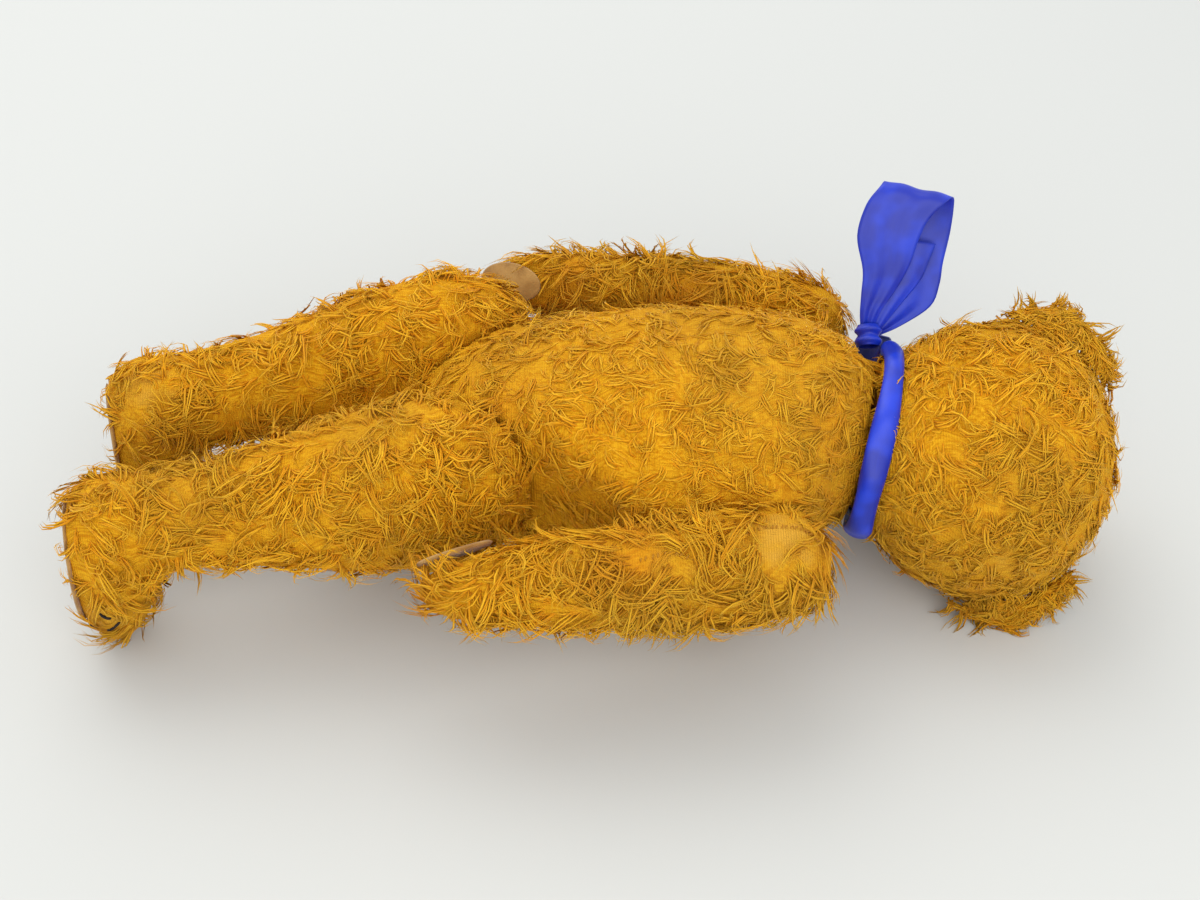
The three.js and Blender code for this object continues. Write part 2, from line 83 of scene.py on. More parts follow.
def srgb(red: int, green: int, blue: int) -> Colour:
    """A linear colour from the three bytes of a display colour.

    Args:
        red: The red byte.
        green: The green byte.
        blue: The blue byte.

    Returns:
        The three linear components.
    """
    parts = (red / 255, green / 255, blue / 255)
    return tuple(p / 12.92 if p <= 0.04045 else ((p + 0.055) / 1.055) ** 2.4 for p in parts)


# Materials.


class Graph:
    """A node tree under construction, with short ways to add and join nodes."""

    def __init__(self, tree: bpy.types.NodeTree) -> None:
        """Keeps the tree that the nodes go into."""
        self.tree = tree

    def feed(self, node: bpy.types.Node, inputs: Inputs) -> None:
        """Gives a node's inputs values or links.

        Args:
            node: The node.
            inputs: Values or output sockets by input name or index.
        """
        for name, value in inputs.items():
            if isinstance(value, bpy.types.NodeSocket):
                self.tree.links.new(value, node.inputs[name])
            else:
                node.inputs[name].default_value = value

    def add(self, kind: str, inputs: Inputs | None = None, **settings: object) -> bpy.types.Node:
        """Adds a node.

        Args:
            kind: The node's type name.
            inputs: Values or output sockets by input name or index.
            **settings: Properties of the node.

        Returns:
            The node.
        """
        node = self.tree.nodes.new(kind)
        for name, value in settings.items():
            setattr(node, name, value)
        self.feed(node, inputs or {})
        return node

    def math(self, operation: str, first: object, second: object = 0.0) -> Socket:
        """The result of a math node on two values or sockets."""
        return self.add("ShaderNodeMath", {0: first, 1: second}, operation=operation).outputs[0]

    def times(self, first: object, second: object) -> Socket:
        """The product of two values or sockets."""
        return self.math("MULTIPLY", first, second)

    def mix(self, share: object, first: object, second: object) -> Socket:
        """A colour mixed from two colours or sockets by a share."""
        ends = [end if isinstance(end, bpy.types.NodeSocket) else (*end, 1.0) for end in (first, second)]
        return self.add("ShaderNodeMix", {0: share, 6: ends[0], 7: ends[1]}, data_type="RGBA").outputs[2]

    def span(
        self, value: object, low: float, high: float, to_low: float = 0.0, to_high: float = 1.0
    ) -> Socket:
        """A value carried smoothly from one range to another, held at the ends."""
        inputs = {0: value, 1: low, 2: high, 3: to_low, 4: to_high}
        return self.add("ShaderNodeMapRange", inputs, interpolation_type="SMOOTHSTEP").outputs[0]

    def noise(self, vector: Socket, scale: float, detail: float = 2.0, rough: float = 0.5) -> Socket:
        """Smooth noise in 0 to 1 at a scale in cycles for each metre."""
        inputs = {"Vector": vector, "Scale": scale, "Detail": detail, "Roughness": rough}
        return self.add("ShaderNodeTexNoise", inputs).outputs["Fac"]

    def bump(self, height: Socket, distance: float, strength: float) -> Socket:
        """The normal of a surface raised by a height."""
        inputs = {"Height": height, "Distance": distance, "Strength": strength}
        return self.add("ShaderNodeBump", inputs).outputs[0]

    def place(self) -> Socket:
        """The surface's place in the bear's frame, in metres."""
        return self.add("ShaderNodeTexCoord").outputs["Object"]

    def value(self, name: str) -> Socket:
        """A number that the mesh carries at each of its points."""
        return self.add("ShaderNodeAttribute", attribute_name=name).outputs["Fac"]


def new_group(
    name: str, inputs: dict[str, str], outputs: dict[str, str]
) -> tuple[Graph, bpy.types.Node, bpy.types.Node]:
    """An empty shader node group with named sockets.

    Args:
        name: The group's name.
        inputs: Socket types by input name.
        outputs: Socket types by output name.

    Returns:
        The group's graph, its input node and its output node.
    """
    tree = bpy.data.node_groups.new(name, "ShaderNodeTree")
    for direction, sockets in (("INPUT", inputs), ("OUTPUT", outputs)):
        for label, kind in sockets.items():
            tree.interface.new_socket(label, in_out=direction, socket_type=kind)
    graph = Graph(tree)
    return graph, graph.add("NodeGroupInput"), graph.add("NodeGroupOutput")


@dataclass(frozen=True)
class Drift:
    """A broad field of another colour over the bear: its noise, where it sets in, and how strong it gets."""

    scale: float
    detail: float
    rough: float
    low: float
    high: float
    strength: float
    colour: Colour


DRIFTS = (
    Drift(9.0, 3.0, 0.5, 0.38, 0.66, 0.45, srgb(176, 132, 40)),
    Drift(17.0, 2.0, 0.5, 0.56, 0.74, 0.5, srgb(214, 128, 10)),
    Drift(13.0, 2.0, 0.4, 0.6, 0.8, 0.4, srgb(188, 158, 12)),
)
# A darker brown that the colour takes on towards the table, within 50 mm of it.
LOW_DARK_COLOUR = srgb(140, 88, 20)
LOW_DARK_TOP = 50 * MM


def fade_group() -> bpy.types.NodeTree:
    """The slow drift of colour over the whole bear: dulled, orange and greenish fields, and a darker brown
    towards the table.

    Returns:
        The group, which takes a colour and gives it back changed.
    """
    graph, given, result = new_group(
        "age_fade",
        {"Color": "NodeSocketColor", "Position": "NodeSocketVector", "Amount": "NodeSocketFloat"},
        {"Color": "NodeSocketColor"},
    )
    place, colour, amount = (given.outputs[name] for name in ("Position", "Color", "Amount"))
    for drift in DRIFTS:
        shown = graph.span(graph.noise(place, drift.scale, drift.detail, drift.rough), drift.low, drift.high)
        colour = graph.mix(graph.times(shown, graph.times(amount, drift.strength)), colour, drift.colour)
    # Darker towards the table, most at the bottom.
    low = graph.span(graph.add("ShaderNodeSeparateXYZ", {0: place}).outputs["Z"], LOW_DARK_TOP, 0.0)
    darkened_low = graph.mix(graph.times(low, graph.times(amount, 0.3)), colour, LOW_DARK_COLOUR)
    graph.feed(result, {"Color": darkened_low})
    return graph.tree


def weave_group() -> bpy.types.NodeTree:
    """A plain weave as a height, from a position and a thread count.

    Returns:
        The group, with the threads for each metre as an input.
    """
    graph, given, result = new_group(
        "thread_weave",
        {"Vector": "NodeSocketVector", "Threads": "NodeSocketFloat"},
        {"Height": "NodeSocketFloat"},
    )
    parts = graph.add("ShaderNodeSeparateXYZ", {0: given.outputs["Vector"]})
    turns = graph.times(given.outputs["Threads"], math.pi)
    waves = [graph.math("ABSOLUTE", graph.math("SINE", graph.times(part, turns))) for part in parts.outputs]
    graph.feed(result, {"Height": graph.times(waves[0], graph.math("MAXIMUM", waves[1], waves[2]))})
    return graph.tree


FADE = fade_group()
WEAVE = weave_group()


def scaled(colour: Colour, factor: float) -> Colour:
    """A colour made lighter or darker by a factor."""
    return tuple(min(1.0, part * factor) for part in colour)


def faded(graph: Graph, colour: Socket, amount: float) -> Socket:
    """A colour under the bear's slow drift of colour."""
    inputs = {"Color": colour, "Position": graph.place(), "Amount": amount}
    return graph.add("ShaderNodeGroup", inputs, node_tree=FADE).outputs["Color"]


@dataclass(frozen=True)
class Finish:
    """A surface with one main colour, the base of every other finish."""

    name: str
    colour: Colour
    rough: float = 0.8
    specular: float = 0.3
    metallic: float = 0.0

    def build(self) -> bpy.types.Material:
        """Makes the material.

        Returns:
            The material, with its node tree built.
        """
        material = bpy.data.materials.new(self.name)
        material.use_nodes = True
        graph = Graph(material.node_tree)
        shader = material.node_tree.nodes["Principled BSDF"]
        graph.feed(shader, {
            "Base Color": (*self.colour, 1.0),
            "Roughness": self.rough,
            "Specular IOR Level": self.specular,
            "Metallic": self.metallic,
        })
        graph.feed(shader, self.detail(graph))
        return material

    def detail(self, graph: Graph) -> Inputs:
        """What sets the finish apart: here a little grain in the colour and the surface.

        Args:
            graph: The material's graph.

        Returns:
            Values or sockets for the shader by input name.
        """
        grain = graph.noise(graph.place(), 900.0, 4.0)
        tint = graph.mix(grain, scaled(self.colour, 0.82), scaled(self.colour, 1.12))
        return {"Base Color": tint, "Normal": graph.bump(grain, 0.3 * MM, 0.4)}


@dataclass(frozen=True)
class MohairFinish(Finish):
    """Lustrous mohair locks: dark at the root with painted shade, golden along the lock, paler at the worn
    tip.
    """

    # Painted shade: the darker colour at each lock's root, where the pile shades itself.
    root: Colour = srgb(224, 138, 4)
    tip: Colour = srgb(252, 198, 56)
    pale: Colour = srgb(255, 194, 40)
    hairs: float = 9.0

    def detail(self, graph: Graph) -> Inputs:
        """Each lock's colour along its length and by its own tone, with fine hairs across it."""
        along, tone, across = (graph.value(name) for name in ("along", "tone", "across"))
        shifted = graph.math("ADD", graph.times(across, self.hairs), graph.times(tone, 37.0))
        hairs = graph.math("SINE", graph.times(shifted, math.tau))
        streaked = graph.math("ADD", tone, graph.times(hairs, 0.22))
        body = graph.mix(graph.span(streaked, 0.0, 1.0), self.colour, self.pale)
        # Painted shade: each lock darkens towards its root.
        rooted = graph.mix(graph.span(along, 0.0, 0.4), self.root, body)
        tipped = graph.mix(graph.span(along, 0.55, 1.0, 0.0, 0.6), rooted, self.tip)
        return {
            "Base Color": faded(graph, tipped, 1.0),
            "Normal": graph.bump(hairs, 0.1 * MM, 0.5),
            "Specular Tint": (1.0, 0.8, 0.3, 1.0),
            "Sheen Weight": 0.18,
            "Sheen Roughness": 0.4,
            "Sheen Tint": (1.0, 0.76, 0.2, 1.0),
        }


@dataclass(frozen=True)
class BackingFinish(Finish):
    """The felted roots of the pile, and the cotton backing, bare and woven where the mohair is worn off."""

    light: Colour = srgb(232, 172, 28)
    bare: Colour = srgb(228, 170, 58)
    threads: float = 900.0
    bend: Colour = (0.05, 0.05, 0.05)
    comb: Colour = (0.16, 1.0, 1.0)

    def detail(self, graph: Graph) -> Inputs:
        """Felted roots combed along the body, mixed with bare weave by the mesh's own wear."""
        place = graph.place()
        whirls = {"Vector": place, "Scale": 26.0, "Detail": 1.0}
        swirl = graph.add("ShaderNodeTexNoise", whirls).outputs["Color"]
        bent = graph.add("ShaderNodeVectorMath", {0: swirl, 1: self.bend}, operation="MULTIPLY").outputs[0]
        warped = graph.add("ShaderNodeVectorMath", {0: place, 1: bent}, operation="ADD").outputs[0]
        combed = graph.add("ShaderNodeMapping", {0: warped, 3: self.comb}).outputs[0]
        felt = graph.noise(combed, 900.0, 3.0, 0.6)
        rooted = graph.mix(graph.span(felt, 0.3, 0.7), self.colour, self.light)
        threads = {"Vector": place, "Threads": self.threads}
        weave = graph.add("ShaderNodeGroup", threads, node_tree=WEAVE).outputs[0]
        woven = graph.mix(weave, scaled(self.bare, 0.8), self.bare)
        ragged = graph.span(graph.noise(place, 160.0, 3.0), 0.3, 0.6, 0.6, 1.0)
        shown = graph.times(graph.value("wear"), ragged)
        height = graph.math("ADD", graph.times(felt, 1.5), graph.times(weave, 0.4))
        return {
            "Base Color": faded(graph, graph.mix(shown, rooted, woven), 0.8),
            "Normal": graph.bump(height, 0.9 * MM, 0.8),
        }


@dataclass(frozen=True)
class FeltFinish(Finish):
    """Thin wool felt, rubbed and soiled."""

    soil: Colour = srgb(146, 102, 50)

    def detail(self, graph: Graph) -> Inputs:
        """Matted fibres, mottled with soil."""
        fibres = graph.noise(graph.place(), 1300.0, 6.0, 0.75)
        blotch = graph.span(graph.noise(graph.place(), 70.0, 4.0), 0.4, 0.68, 0.0, 0.8)
        base = graph.mix(fibres, scaled(self.colour, 0.8), scaled(self.colour, 1.15))
        return {
            "Base Color": graph.mix(blotch, base, self.soil),
            "Normal": graph.bump(fibres, 0.5 * MM, 0.7),
            "Sheen Weight": 0.3,
        }


@dataclass(frozen=True)
class SatinFinish(Finish):
    """Satin ribbon: a smooth warp-faced weave with long soft highlights."""

    # Painted shade: the dark blue that the satin takes in its soft creases.
    shade: Colour = srgb(16, 30, 140)
    stretch: Colour = (3.0, 420.0, 1.0)

    def detail(self, graph: Graph) -> Inputs:
        """Fine lengthwise threads, and painted shade in soft creases that darkens the blue a little."""
        uv = graph.add("ShaderNodeUVMap", uv_map="ribbon").outputs[0]
        fine = graph.noise(graph.add("ShaderNodeMapping", {0: uv, 3: self.stretch}).outputs[0], 1.0)
        creases = graph.noise(graph.place(), 60.0)
        # Painted shade, mixed in by the crease noise.
        colour = graph.mix(graph.span(creases, 0.35, 0.7), self.shade, self.colour)
        height = graph.math("ADD", graph.times(fine, 0.12), creases)
        return {
            "Base Color": graph.mix(graph.times(fine, 0.35), colour, scaled(self.colour, 1.5)),
            "Normal": graph.bump(height, 0.8 * MM, 0.35),
            "Anisotropic": 0.4,
            "Sheen Weight": 0.15,
            "Sheen Tint": (*scaled(self.colour, 2.5), 1.0),
        }


@dataclass(frozen=True)
class GlassFinish(Finish):
    """A brown glass eye with a black pupil behind a clear front."""

    iris: Colour = srgb(92, 46, 12)

    def detail(self, graph: Graph) -> Inputs:
        """A round dark pupil by the eye's own map, under a hard clear coat."""
        uv = graph.add("ShaderNodeUVMap", uv_map="eye").outputs[0]
        radius = graph.add("ShaderNodeSeparateXYZ", {0: uv}).outputs["X"]
        ring = graph.span(radius, 0.42, 0.48)
        return {
            "Base Color": graph.mix(ring, self.colour, self.iris),
            "Coat Weight": 1.0,
            "Coat Roughness": 0.02,
        }


@dataclass(frozen=True)
class TableFinish(Finish):
    """The pale matt surface that the bear lies on."""

    def detail(self, graph: Graph) -> Inputs:
        """A very slow change of brightness."""
        drift = graph.noise(graph.place(), 1.1, 1.0)
        return {"Base Color": graph.mix(drift, scaled(self.colour, 0.97), scaled(self.colour, 1.03))}


MOHAIR = MohairFinish("golden_mohair", srgb(232, 152, 12), rough=0.55, specular=0.22).build()
BACKING = BackingFinish("mohair_backing", srgb(198, 128, 8), rough=0.9, specular=0.1).build()
FELT = FeltFinish("worn_felt", srgb(188, 146, 84), rough=0.95, specular=0.1).build()
SATIN = SatinFinish("royal_blue_satin", srgb(20, 56, 200), rough=0.42, specular=0.5).build()
GLASS = GlassFinish("eye_glass", srgb(8, 6, 5), rough=0.08, specular=0.5).build()
BLACK_THREAD = Finish("black_thread", srgb(34, 28, 26), rough=0.75).build()
DARN_THREAD = Finish("darning_thread", srgb(176, 120, 30), rough=0.8).build()
FIBREBOARD = Finish("pressed_fibreboard", srgb(138, 106, 69), rough=0.9).build()
STEEL = Finish("dull_steel", srgb(154, 154, 152), rough=0.45, specular=0.5, metallic=1.0).build()
TABLE = TableFinish("pale_table", srgb(203, 205, 203), rough=0.7, specular=0.2).build()


# Mesh helpers.


def placed(name: str, mesh: bpy.types.Mesh) -> bpy.types.Object:
    """An object at the origin that shows a mesh made in the bear's frame."""
    piece = bpy.data.objects.new(name, mesh)
    bpy.context.scene.collection.objects.link(piece)
    return piece


def dressed(name: str, mesh: bpy.types.Mesh, material: bpy.types.Material) -> bpy.types.Object:
    """A piece that shows a mesh, shaded smooth, in one material.

    Args:
        name: The piece's name.
        mesh: Its mesh, in the bear's frame.
        material: Its one material.

    Returns:
        The piece's object, at the origin.
    """
    mesh.materials.clear()
    mesh.materials.append(material)
    mesh.polygons.foreach_set("use_smooth", [True] * len(mesh.polygons))
    LOG.info("%s: %d faces of %s", name, len(mesh.polygons), material.name)
    return placed(name, mesh)


def finished_mesh(name: str, shape: bmesh.types.BMesh) -> bpy.types.Mesh:
    """A mesh from a bmesh, which is freed."""
    mesh = bpy.data.meshes.new(name)
    shape.to_mesh(mesh)
    shape.free()
    return mesh


def joined(meshes: Iterable[bpy.types.Mesh]) -> bmesh.types.BMesh:
    """Several meshes in one bmesh."""
    shape = bmesh.new()
    for mesh in meshes:
        shape.from_mesh(mesh)
    return shape


def tree_of(meshes: Iterable[bpy.types.Mesh]) -> BVHTree:
    """A search tree of several meshes' faces."""
    shape = joined(meshes)
    tree = BVHTree.FromBMesh(shape)
    shape.free()
    return tree


def packed(nodes: Iterable[str]) -> list[bpy.types.Mesh]:
    """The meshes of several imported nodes."""
    return [frame["nodes"][name].data for name in nodes]


def vertices_of(mesh: bpy.types.Mesh) -> Points:
    """The mesh's points as rows."""
    places = np.zeros(len(mesh.vertices) * 3)
    mesh.vertices.foreach_get("co", places)
    return places.reshape(-1, 3)


def normals_of(mesh: bpy.types.Mesh) -> Points:
    """The mesh's vertex normals as rows."""
    normals = np.zeros(len(mesh.vertices) * 3, np.float32)
    mesh.vertex_normals.foreach_get("vector", normals)
    return normals.reshape(-1, 3).astype(float)


def unit(rows: Points) -> Points:
    """Rows scaled to length one."""
    return rows / np.maximum(np.linalg.norm(rows, axis=-1, keepdims=True), 1e-12)


@dataclass
class Whorls:
    """A smooth random turning of the pile over the surface, as a sum of seeded waves."""

    seed: int
    length: float
    waves: int = 14

    def at(self, places: Points) -> Points:
        """The field's value at each place.

        Args:
            places: Points as rows.

        Returns:
            One number for each point, mostly between -1 and 1.
        """
        random = np.random.default_rng(self.seed)
        ways = unit(random.normal(size=(self.waves, 3))) * math.tau / self.length
        ways *= random.uniform(0.5, 1.6, (self.waves, 1))
        phases = random.uniform(0, math.tau, self.waves)
        return np.sin(places @ ways.T + phases).sum(1) / math.sqrt(self.waves / 2)


# The stuffed skins.


@dataclass
class Skin:
    """The soft surface of one stuffed cover, under its pile."""

    name: str
    nodes: tuple[str, ...]
    others: tuple[str, ...]
    voxel: float
    inset: float
    pressed: float = 0.9 * MM
    floor: float = 0.6 * MM
    rounds: int = 8

    def build(self) -> bpy.types.Object:
        """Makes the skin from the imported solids: joined, remeshed, smoothed and drawn in under the pile.

        Returns:
            The skin's object.
        """
        shape = joined(packed(self.nodes))
        bmesh.ops.remove_doubles(shape, verts=shape.verts, dist=1e-6)
        rough = placed("rough", finished_mesh("rough", shape))
        remesh = rough.modifiers.new("remesh", "REMESH")
        remesh.mode = "VOXEL"
        remesh.voxel_size = self.voxel
        solid = bpy.data.meshes.new_from_object(rough.evaluated_get(bpy.context.evaluated_depsgraph_get()))
        bpy.data.objects.remove(rough)
        body = outer_shell(solid)
        every_way = {f"use_axis_{axis}": True for axis in "xyz"}
        for _ in range(self.rounds):
            bmesh.ops.smooth_vert(body, verts=body.verts, factor=0.5, **every_way)
        bmesh.ops.recalc_face_normals(body, faces=body.faces)
        mesh = finished_mesh(self.name, body)
        self.draw_in(mesh)
        return dressed(self.name, mesh, BACKING)

    def draw_in(self, mesh: bpy.types.Mesh) -> None:
        """Moves the surface in by the pile's depth, less where a neighbour presses on it."""
        places, normals = vertices_of(mesh), normals_of(mesh)
        near = tree_of(packed(self.others))
        depth = np.full(len(places), self.inset)
        for i, (place, normal) in enumerate(zip(places, normals)):
            start = Vector(place) - Vector(normal) * self.inset
            if near.ray_cast(start, Vector(normal), 5 * self.inset)[0] is not None:
                depth[i] = self.pressed
        moved = places - normals * depth[:, None]
        moved[:, 2] = np.maximum(moved[:, 2], self.floor)
        mesh.vertices.foreach_set("co", moved.ravel())
        mesh.update()


def outer_shell(mesh: bpy.types.Mesh) -> bmesh.types.BMesh:
    """The largest connected surface of a mesh, without what is sealed inside it."""
    shape = joined([mesh])
    shape.verts.ensure_lookup_table()
    seen: set[int] = set()
    shells: list[list[bmesh.types.BMVert]] = []
    for start in shape.verts:
        if start.index in seen:
            continue
        seen.add(start.index)
        shell, front = [start], [start]
        while front:
            for edge in front.pop().link_edges:
                for vertex in edge.verts:
                    if vertex.index not in seen:
                        seen.add(vertex.index)
                        shell.append(vertex)
                        front.append(vertex)
        shells.append(shell)
    kept = set(max(shells, key=len))
    bmesh.ops.delete(shape, geom=[v for v in shape.verts if v not in kept], context="VERTS")
    return shape


# The pile.


@dataclass(frozen=True)
class Wear:
    """A worn place on the cloth: where it is, how far it reaches, and how much pile is left."""

    centre: tuple[float, float, float]
    reach: float
    left: float


RAGGED = Whorls(71, 14 * MM)


def worn(places: Points, patches: Sequence[Wear]) -> Points:
    """How bare each place is, with ragged edges to the worn ones.

    Args:
        places: Points as rows.
        patches: The worn places.

    Returns:
        One number for each point, from 0 for full pile to 1 for none.
    """
    bare = np.zeros(len(places))
    ragged = 1 + 0.25 * RAGGED.at(places)
    for patch in patches:
        far = np.linalg.norm(places - np.array(patch.centre) * MM, axis=1) / (patch.reach * MM * ragged)
        bare = np.maximum(bare, (1 - patch.left) * np.clip(2.2 - 2.0 * far, 0, 1))
    return bare


@dataclass(frozen=True)
class Blade:
    """One straight strand in rings from root to tip, for copies that are bent.

    Its faces are wound inward, because bending mirrors a copy and so turns them outward.

    Attributes:
        along: Each point's share of the way to the tip.
        angle: Each point's angle round the strand.
        faces: Each face's points.
    """

    along: Points
    angle: Points
    faces: list[tuple[int, ...]]

    @classmethod
    def cone(cls, rings: int = 4, sides: int = 3) -> "Blade":
        """Makes the strand from a cone.

        Args:
            rings: How many rings of points it has under the tip.
            sides: How many points each ring has.

        Returns:
            The strand.
        """
        shape = bmesh.new()
        up = Matrix.Translation((0, 0, 0.5))
        bmesh.ops.create_cone(
            shape, cap_ends=True, segments=sides, radius1=1.0, radius2=0.0, depth=1.0, matrix=up
        )
        bmesh.ops.remove_doubles(shape, verts=shape.verts, dist=1e-5)
        edges = [e for e in shape.edges if abs(e.verts[0].co.z - e.verts[1].co.z) > 0.5]
        bmesh.ops.subdivide_edges(shape, edges=edges, cuts=rings - 1)
        shape.verts.ensure_lookup_table()
        shape.verts.index_update()
        along = np.array([v.co.z for v in shape.verts])
        angle = np.array([math.atan2(v.co.y, v.co.x) for v in shape.verts])
        faces = [tuple(v.index for v in f.verts)[::-1] for f in shape.faces]
        shape.free()
        return cls(along, angle, faces)


BLADE = Blade.cone()
NEAR_TIP = 0.999


@dataclass(frozen=True)
class PilePlan:
    """How the mohair of one panel lies: its count, length, lift and lay. Angles are in degrees."""

    count: int
    length: float
    lift: float
    along: tuple[float, float, float]
    seed: int
    weight: float = 0.7
    curl: float = 125.0
    swirl: float = 85.0
    whorl: float = 42 * MM
    centre: tuple[float, float, float] | None = None
    lie: float = -19.0
    stray: float = 26.0


@dataclass(frozen=True)
class Locks:
    """The locks of one panel: where each grows, how it is combed, its room to stand, and the wear there."""

    roots: Points
    normals: Points
    lay: Points
    room: Points
    bare: Points

    @property
    def side(self) -> Points:
        """The way across each lock, along the skin."""
        return np.cross(self.normals, self.lay)


@dataclass
class Pile:
    """The mohair grown from one skin, as closed bent strands gathered into curly locks."""

    name: str
    skin: bpy.types.Object
    plan: PilePlan
    others: BVHTree
    patches: tuple[Wear, ...]
    panel: Callable[[Points], Points] | None
    felt: BVHTree | None
    strands: int = 4
    spread: float = 2.8 * MM
    wide: float = 1.1 * MM
    thick: float = 0.4 * MM
    gather: float = 0.62
    rooted: float = 0.8 * MM
    steps: int = 24
    felt_gap: float = 3.7 * MM
    look: float = 14 * MM
    open_room: float = 30 * MM
    least_room: float = 1.6 * MM
    full_room: float = 9 * MM
    stray_share: float = 0.04
    stray_lie: float = 14.0

    def build(self) -> bpy.types.Object:
        """Grows the pile.

        Returns:
            The pile's object, one closed mesh of many strands.
        """
        random = np.random.default_rng(self.plan.seed)
        roots, normals = self.roots(random)
        room = self.room(roots, normals)
        bare = worn(roots, self.patches)
        kept = (random.uniform(size=len(roots)) > bare) & (room > self.least_room) & ~self.under_felt(roots)
        roots, normals = roots[kept], normals[kept]
        lay = self.lay(roots, normals, random)
        return self.mesh_of(*self.strands_on(Locks(roots, normals, lay, room[kept], bare[kept]), random))

    def under_felt(self, roots: Points) -> Points:
        """Which places lie under a felt pad, where no mohair grows."""
        if self.felt is None:
            return np.zeros(len(roots), bool)
        return np.array([self.felt.find_nearest(Vector(place))[3] < self.felt_gap for place in roots])

    def roots(self, random: np.random.Generator) -> tuple[Points, Points]:
        """Even random places on the skin, closer together on top, with their normals."""
        mesh = self.skin.data
        mesh.calc_loop_triangles()
        triangles = np.zeros(len(mesh.loop_triangles) * 3, np.int32)
        mesh.loop_triangles.foreach_get("vertices", triangles)
        triangles = triangles.reshape(-1, 3)
        places, normals = vertices_of(mesh), normals_of(mesh)
        a, b, c = (places[triangles[:, k]] for k in range(3))
        area = np.linalg.norm(np.cross(b - a, c - a), axis=1)
        middle = (a + b + c) / 3
        facing = unit(np.cross(b - a, c - a))
        on_top = 1.0 + 0.5 * facing[:, 2] - 0.25 * facing[:, 1]
        area *= np.clip(on_top, 0.42, 1.7)
        if self.panel is not None:
            area = area * self.panel(middle)
        count = self.plan.count // self.strands
        steps = (np.arange(count) + random.uniform(size=count)) / count
        order = np.lexsort((middle[:, 2], np.round(middle[:, 0] / (6 * MM))))
        chosen = order[np.searchsorted(np.cumsum(area[order]) / area.sum(), steps).clip(0, len(area) - 1)]
        u, v = random.uniform(size=(2, count))
        over = u + v > 1
        u[over], v[over] = 1 - u[over], 1 - v[over]
        shares = np.stack([1 - u - v, u, v], 1)
        corners = triangles[chosen]
        return (
            (places[corners] * shares[..., None]).sum(1),
            unit((normals[corners] * shares[..., None]).sum(1)),
        )

    def room(self, roots: Points, normals: Points) -> Points:
        """How far each lock can stand before it meets a neighbouring body."""
        free = np.full(len(roots), self.open_room)
        for i, (place, normal) in enumerate(zip(roots, normals)):
            hit = self.others.ray_cast(Vector(place), Vector(normal), self.look)
            if hit[3] is not None:
                free[i] = hit[3]
        return free

    def lay(self, roots: Points, normals: Points, random: np.random.Generator) -> Points:
        """The way each lock is combed along the skin: its panel's nap, its own weight, and whorls."""
        plan = self.plan
        way = np.tile(np.array(plan.along), (len(roots), 1)) + np.array([0, 0, -plan.weight])
        if plan.centre is not None:
            way += unit(roots - np.array(plan.centre) * MM)
        way += random.normal(scale=0.12, size=way.shape)
        way -= normals * (way * normals).sum(1, keepdims=True)
        way = unit(way)
        turn = plan.swirl * Whorls(plan.seed + 5, plan.whorl).at(roots)
        turn = np.radians(turn + random.normal(scale=plan.stray, size=len(roots)))
        side = np.cross(normals, way)
        return way * np.cos(turn)[:, None] + side * np.sin(turn)[:, None]

    def strands_on(self, locks: Locks, random: np.random.Generator) -> tuple[Points, Points]:
        """Bends the strands of every lock.

        Args:
            locks: The panel's locks.
            random: The panel's generator.

        Returns:
            Each strand's points, and each strand's tone.
        """
        plan, count = self.plan, len(locks.roots)
        length = plan.length * random.normal(1.0, 0.22, count).clip(0.5, 1.6) * (1 - 0.75 * locks.bare)
        length = np.minimum(length, locks.room * 3.0)
        standing = np.clip(locks.room / self.full_room, 0.1, 1.0) * (1 - 0.5 * locks.bare)
        lift = np.radians(plan.lift * random.normal(1.0, 0.25, count).clip(0.3, 1.6) * standing)
        strays = random.uniform(size=count) < self.stray_share
        lie = np.radians(np.where(strays, self.stray_lie, plan.lie) + random.normal(scale=7.0, size=count))
        curl = np.radians(plan.curl) * random.normal(size=count).clip(-2.2, 2.2)
        share = np.linspace(0, 1, self.steps + 1)
        heading = curl[:, None] * share**1.5
        height = lift[:, None] * (1 - share) ** 1.3 + lie[:, None] * share
        move = (
            (np.cos(height) * np.cos(heading))[..., None] * locks.lay[:, None]
            + (np.cos(height) * np.sin(heading))[..., None] * locks.side[:, None]
            + np.sin(height)[..., None] * locks.normals[:, None]
        )
        middle = np.cumsum(move, axis=1) * (length[:, None, None] / self.steps)
        middle -= middle[:, :1]
        made = [self.strand(locks, middle, length, random) for _ in range(self.strands)]
        places = np.concatenate([points for points, _ in made], axis=0)
        places[..., 2] = above_floor(places[..., 2])
        return places, np.concatenate([tones for _, tones in made])

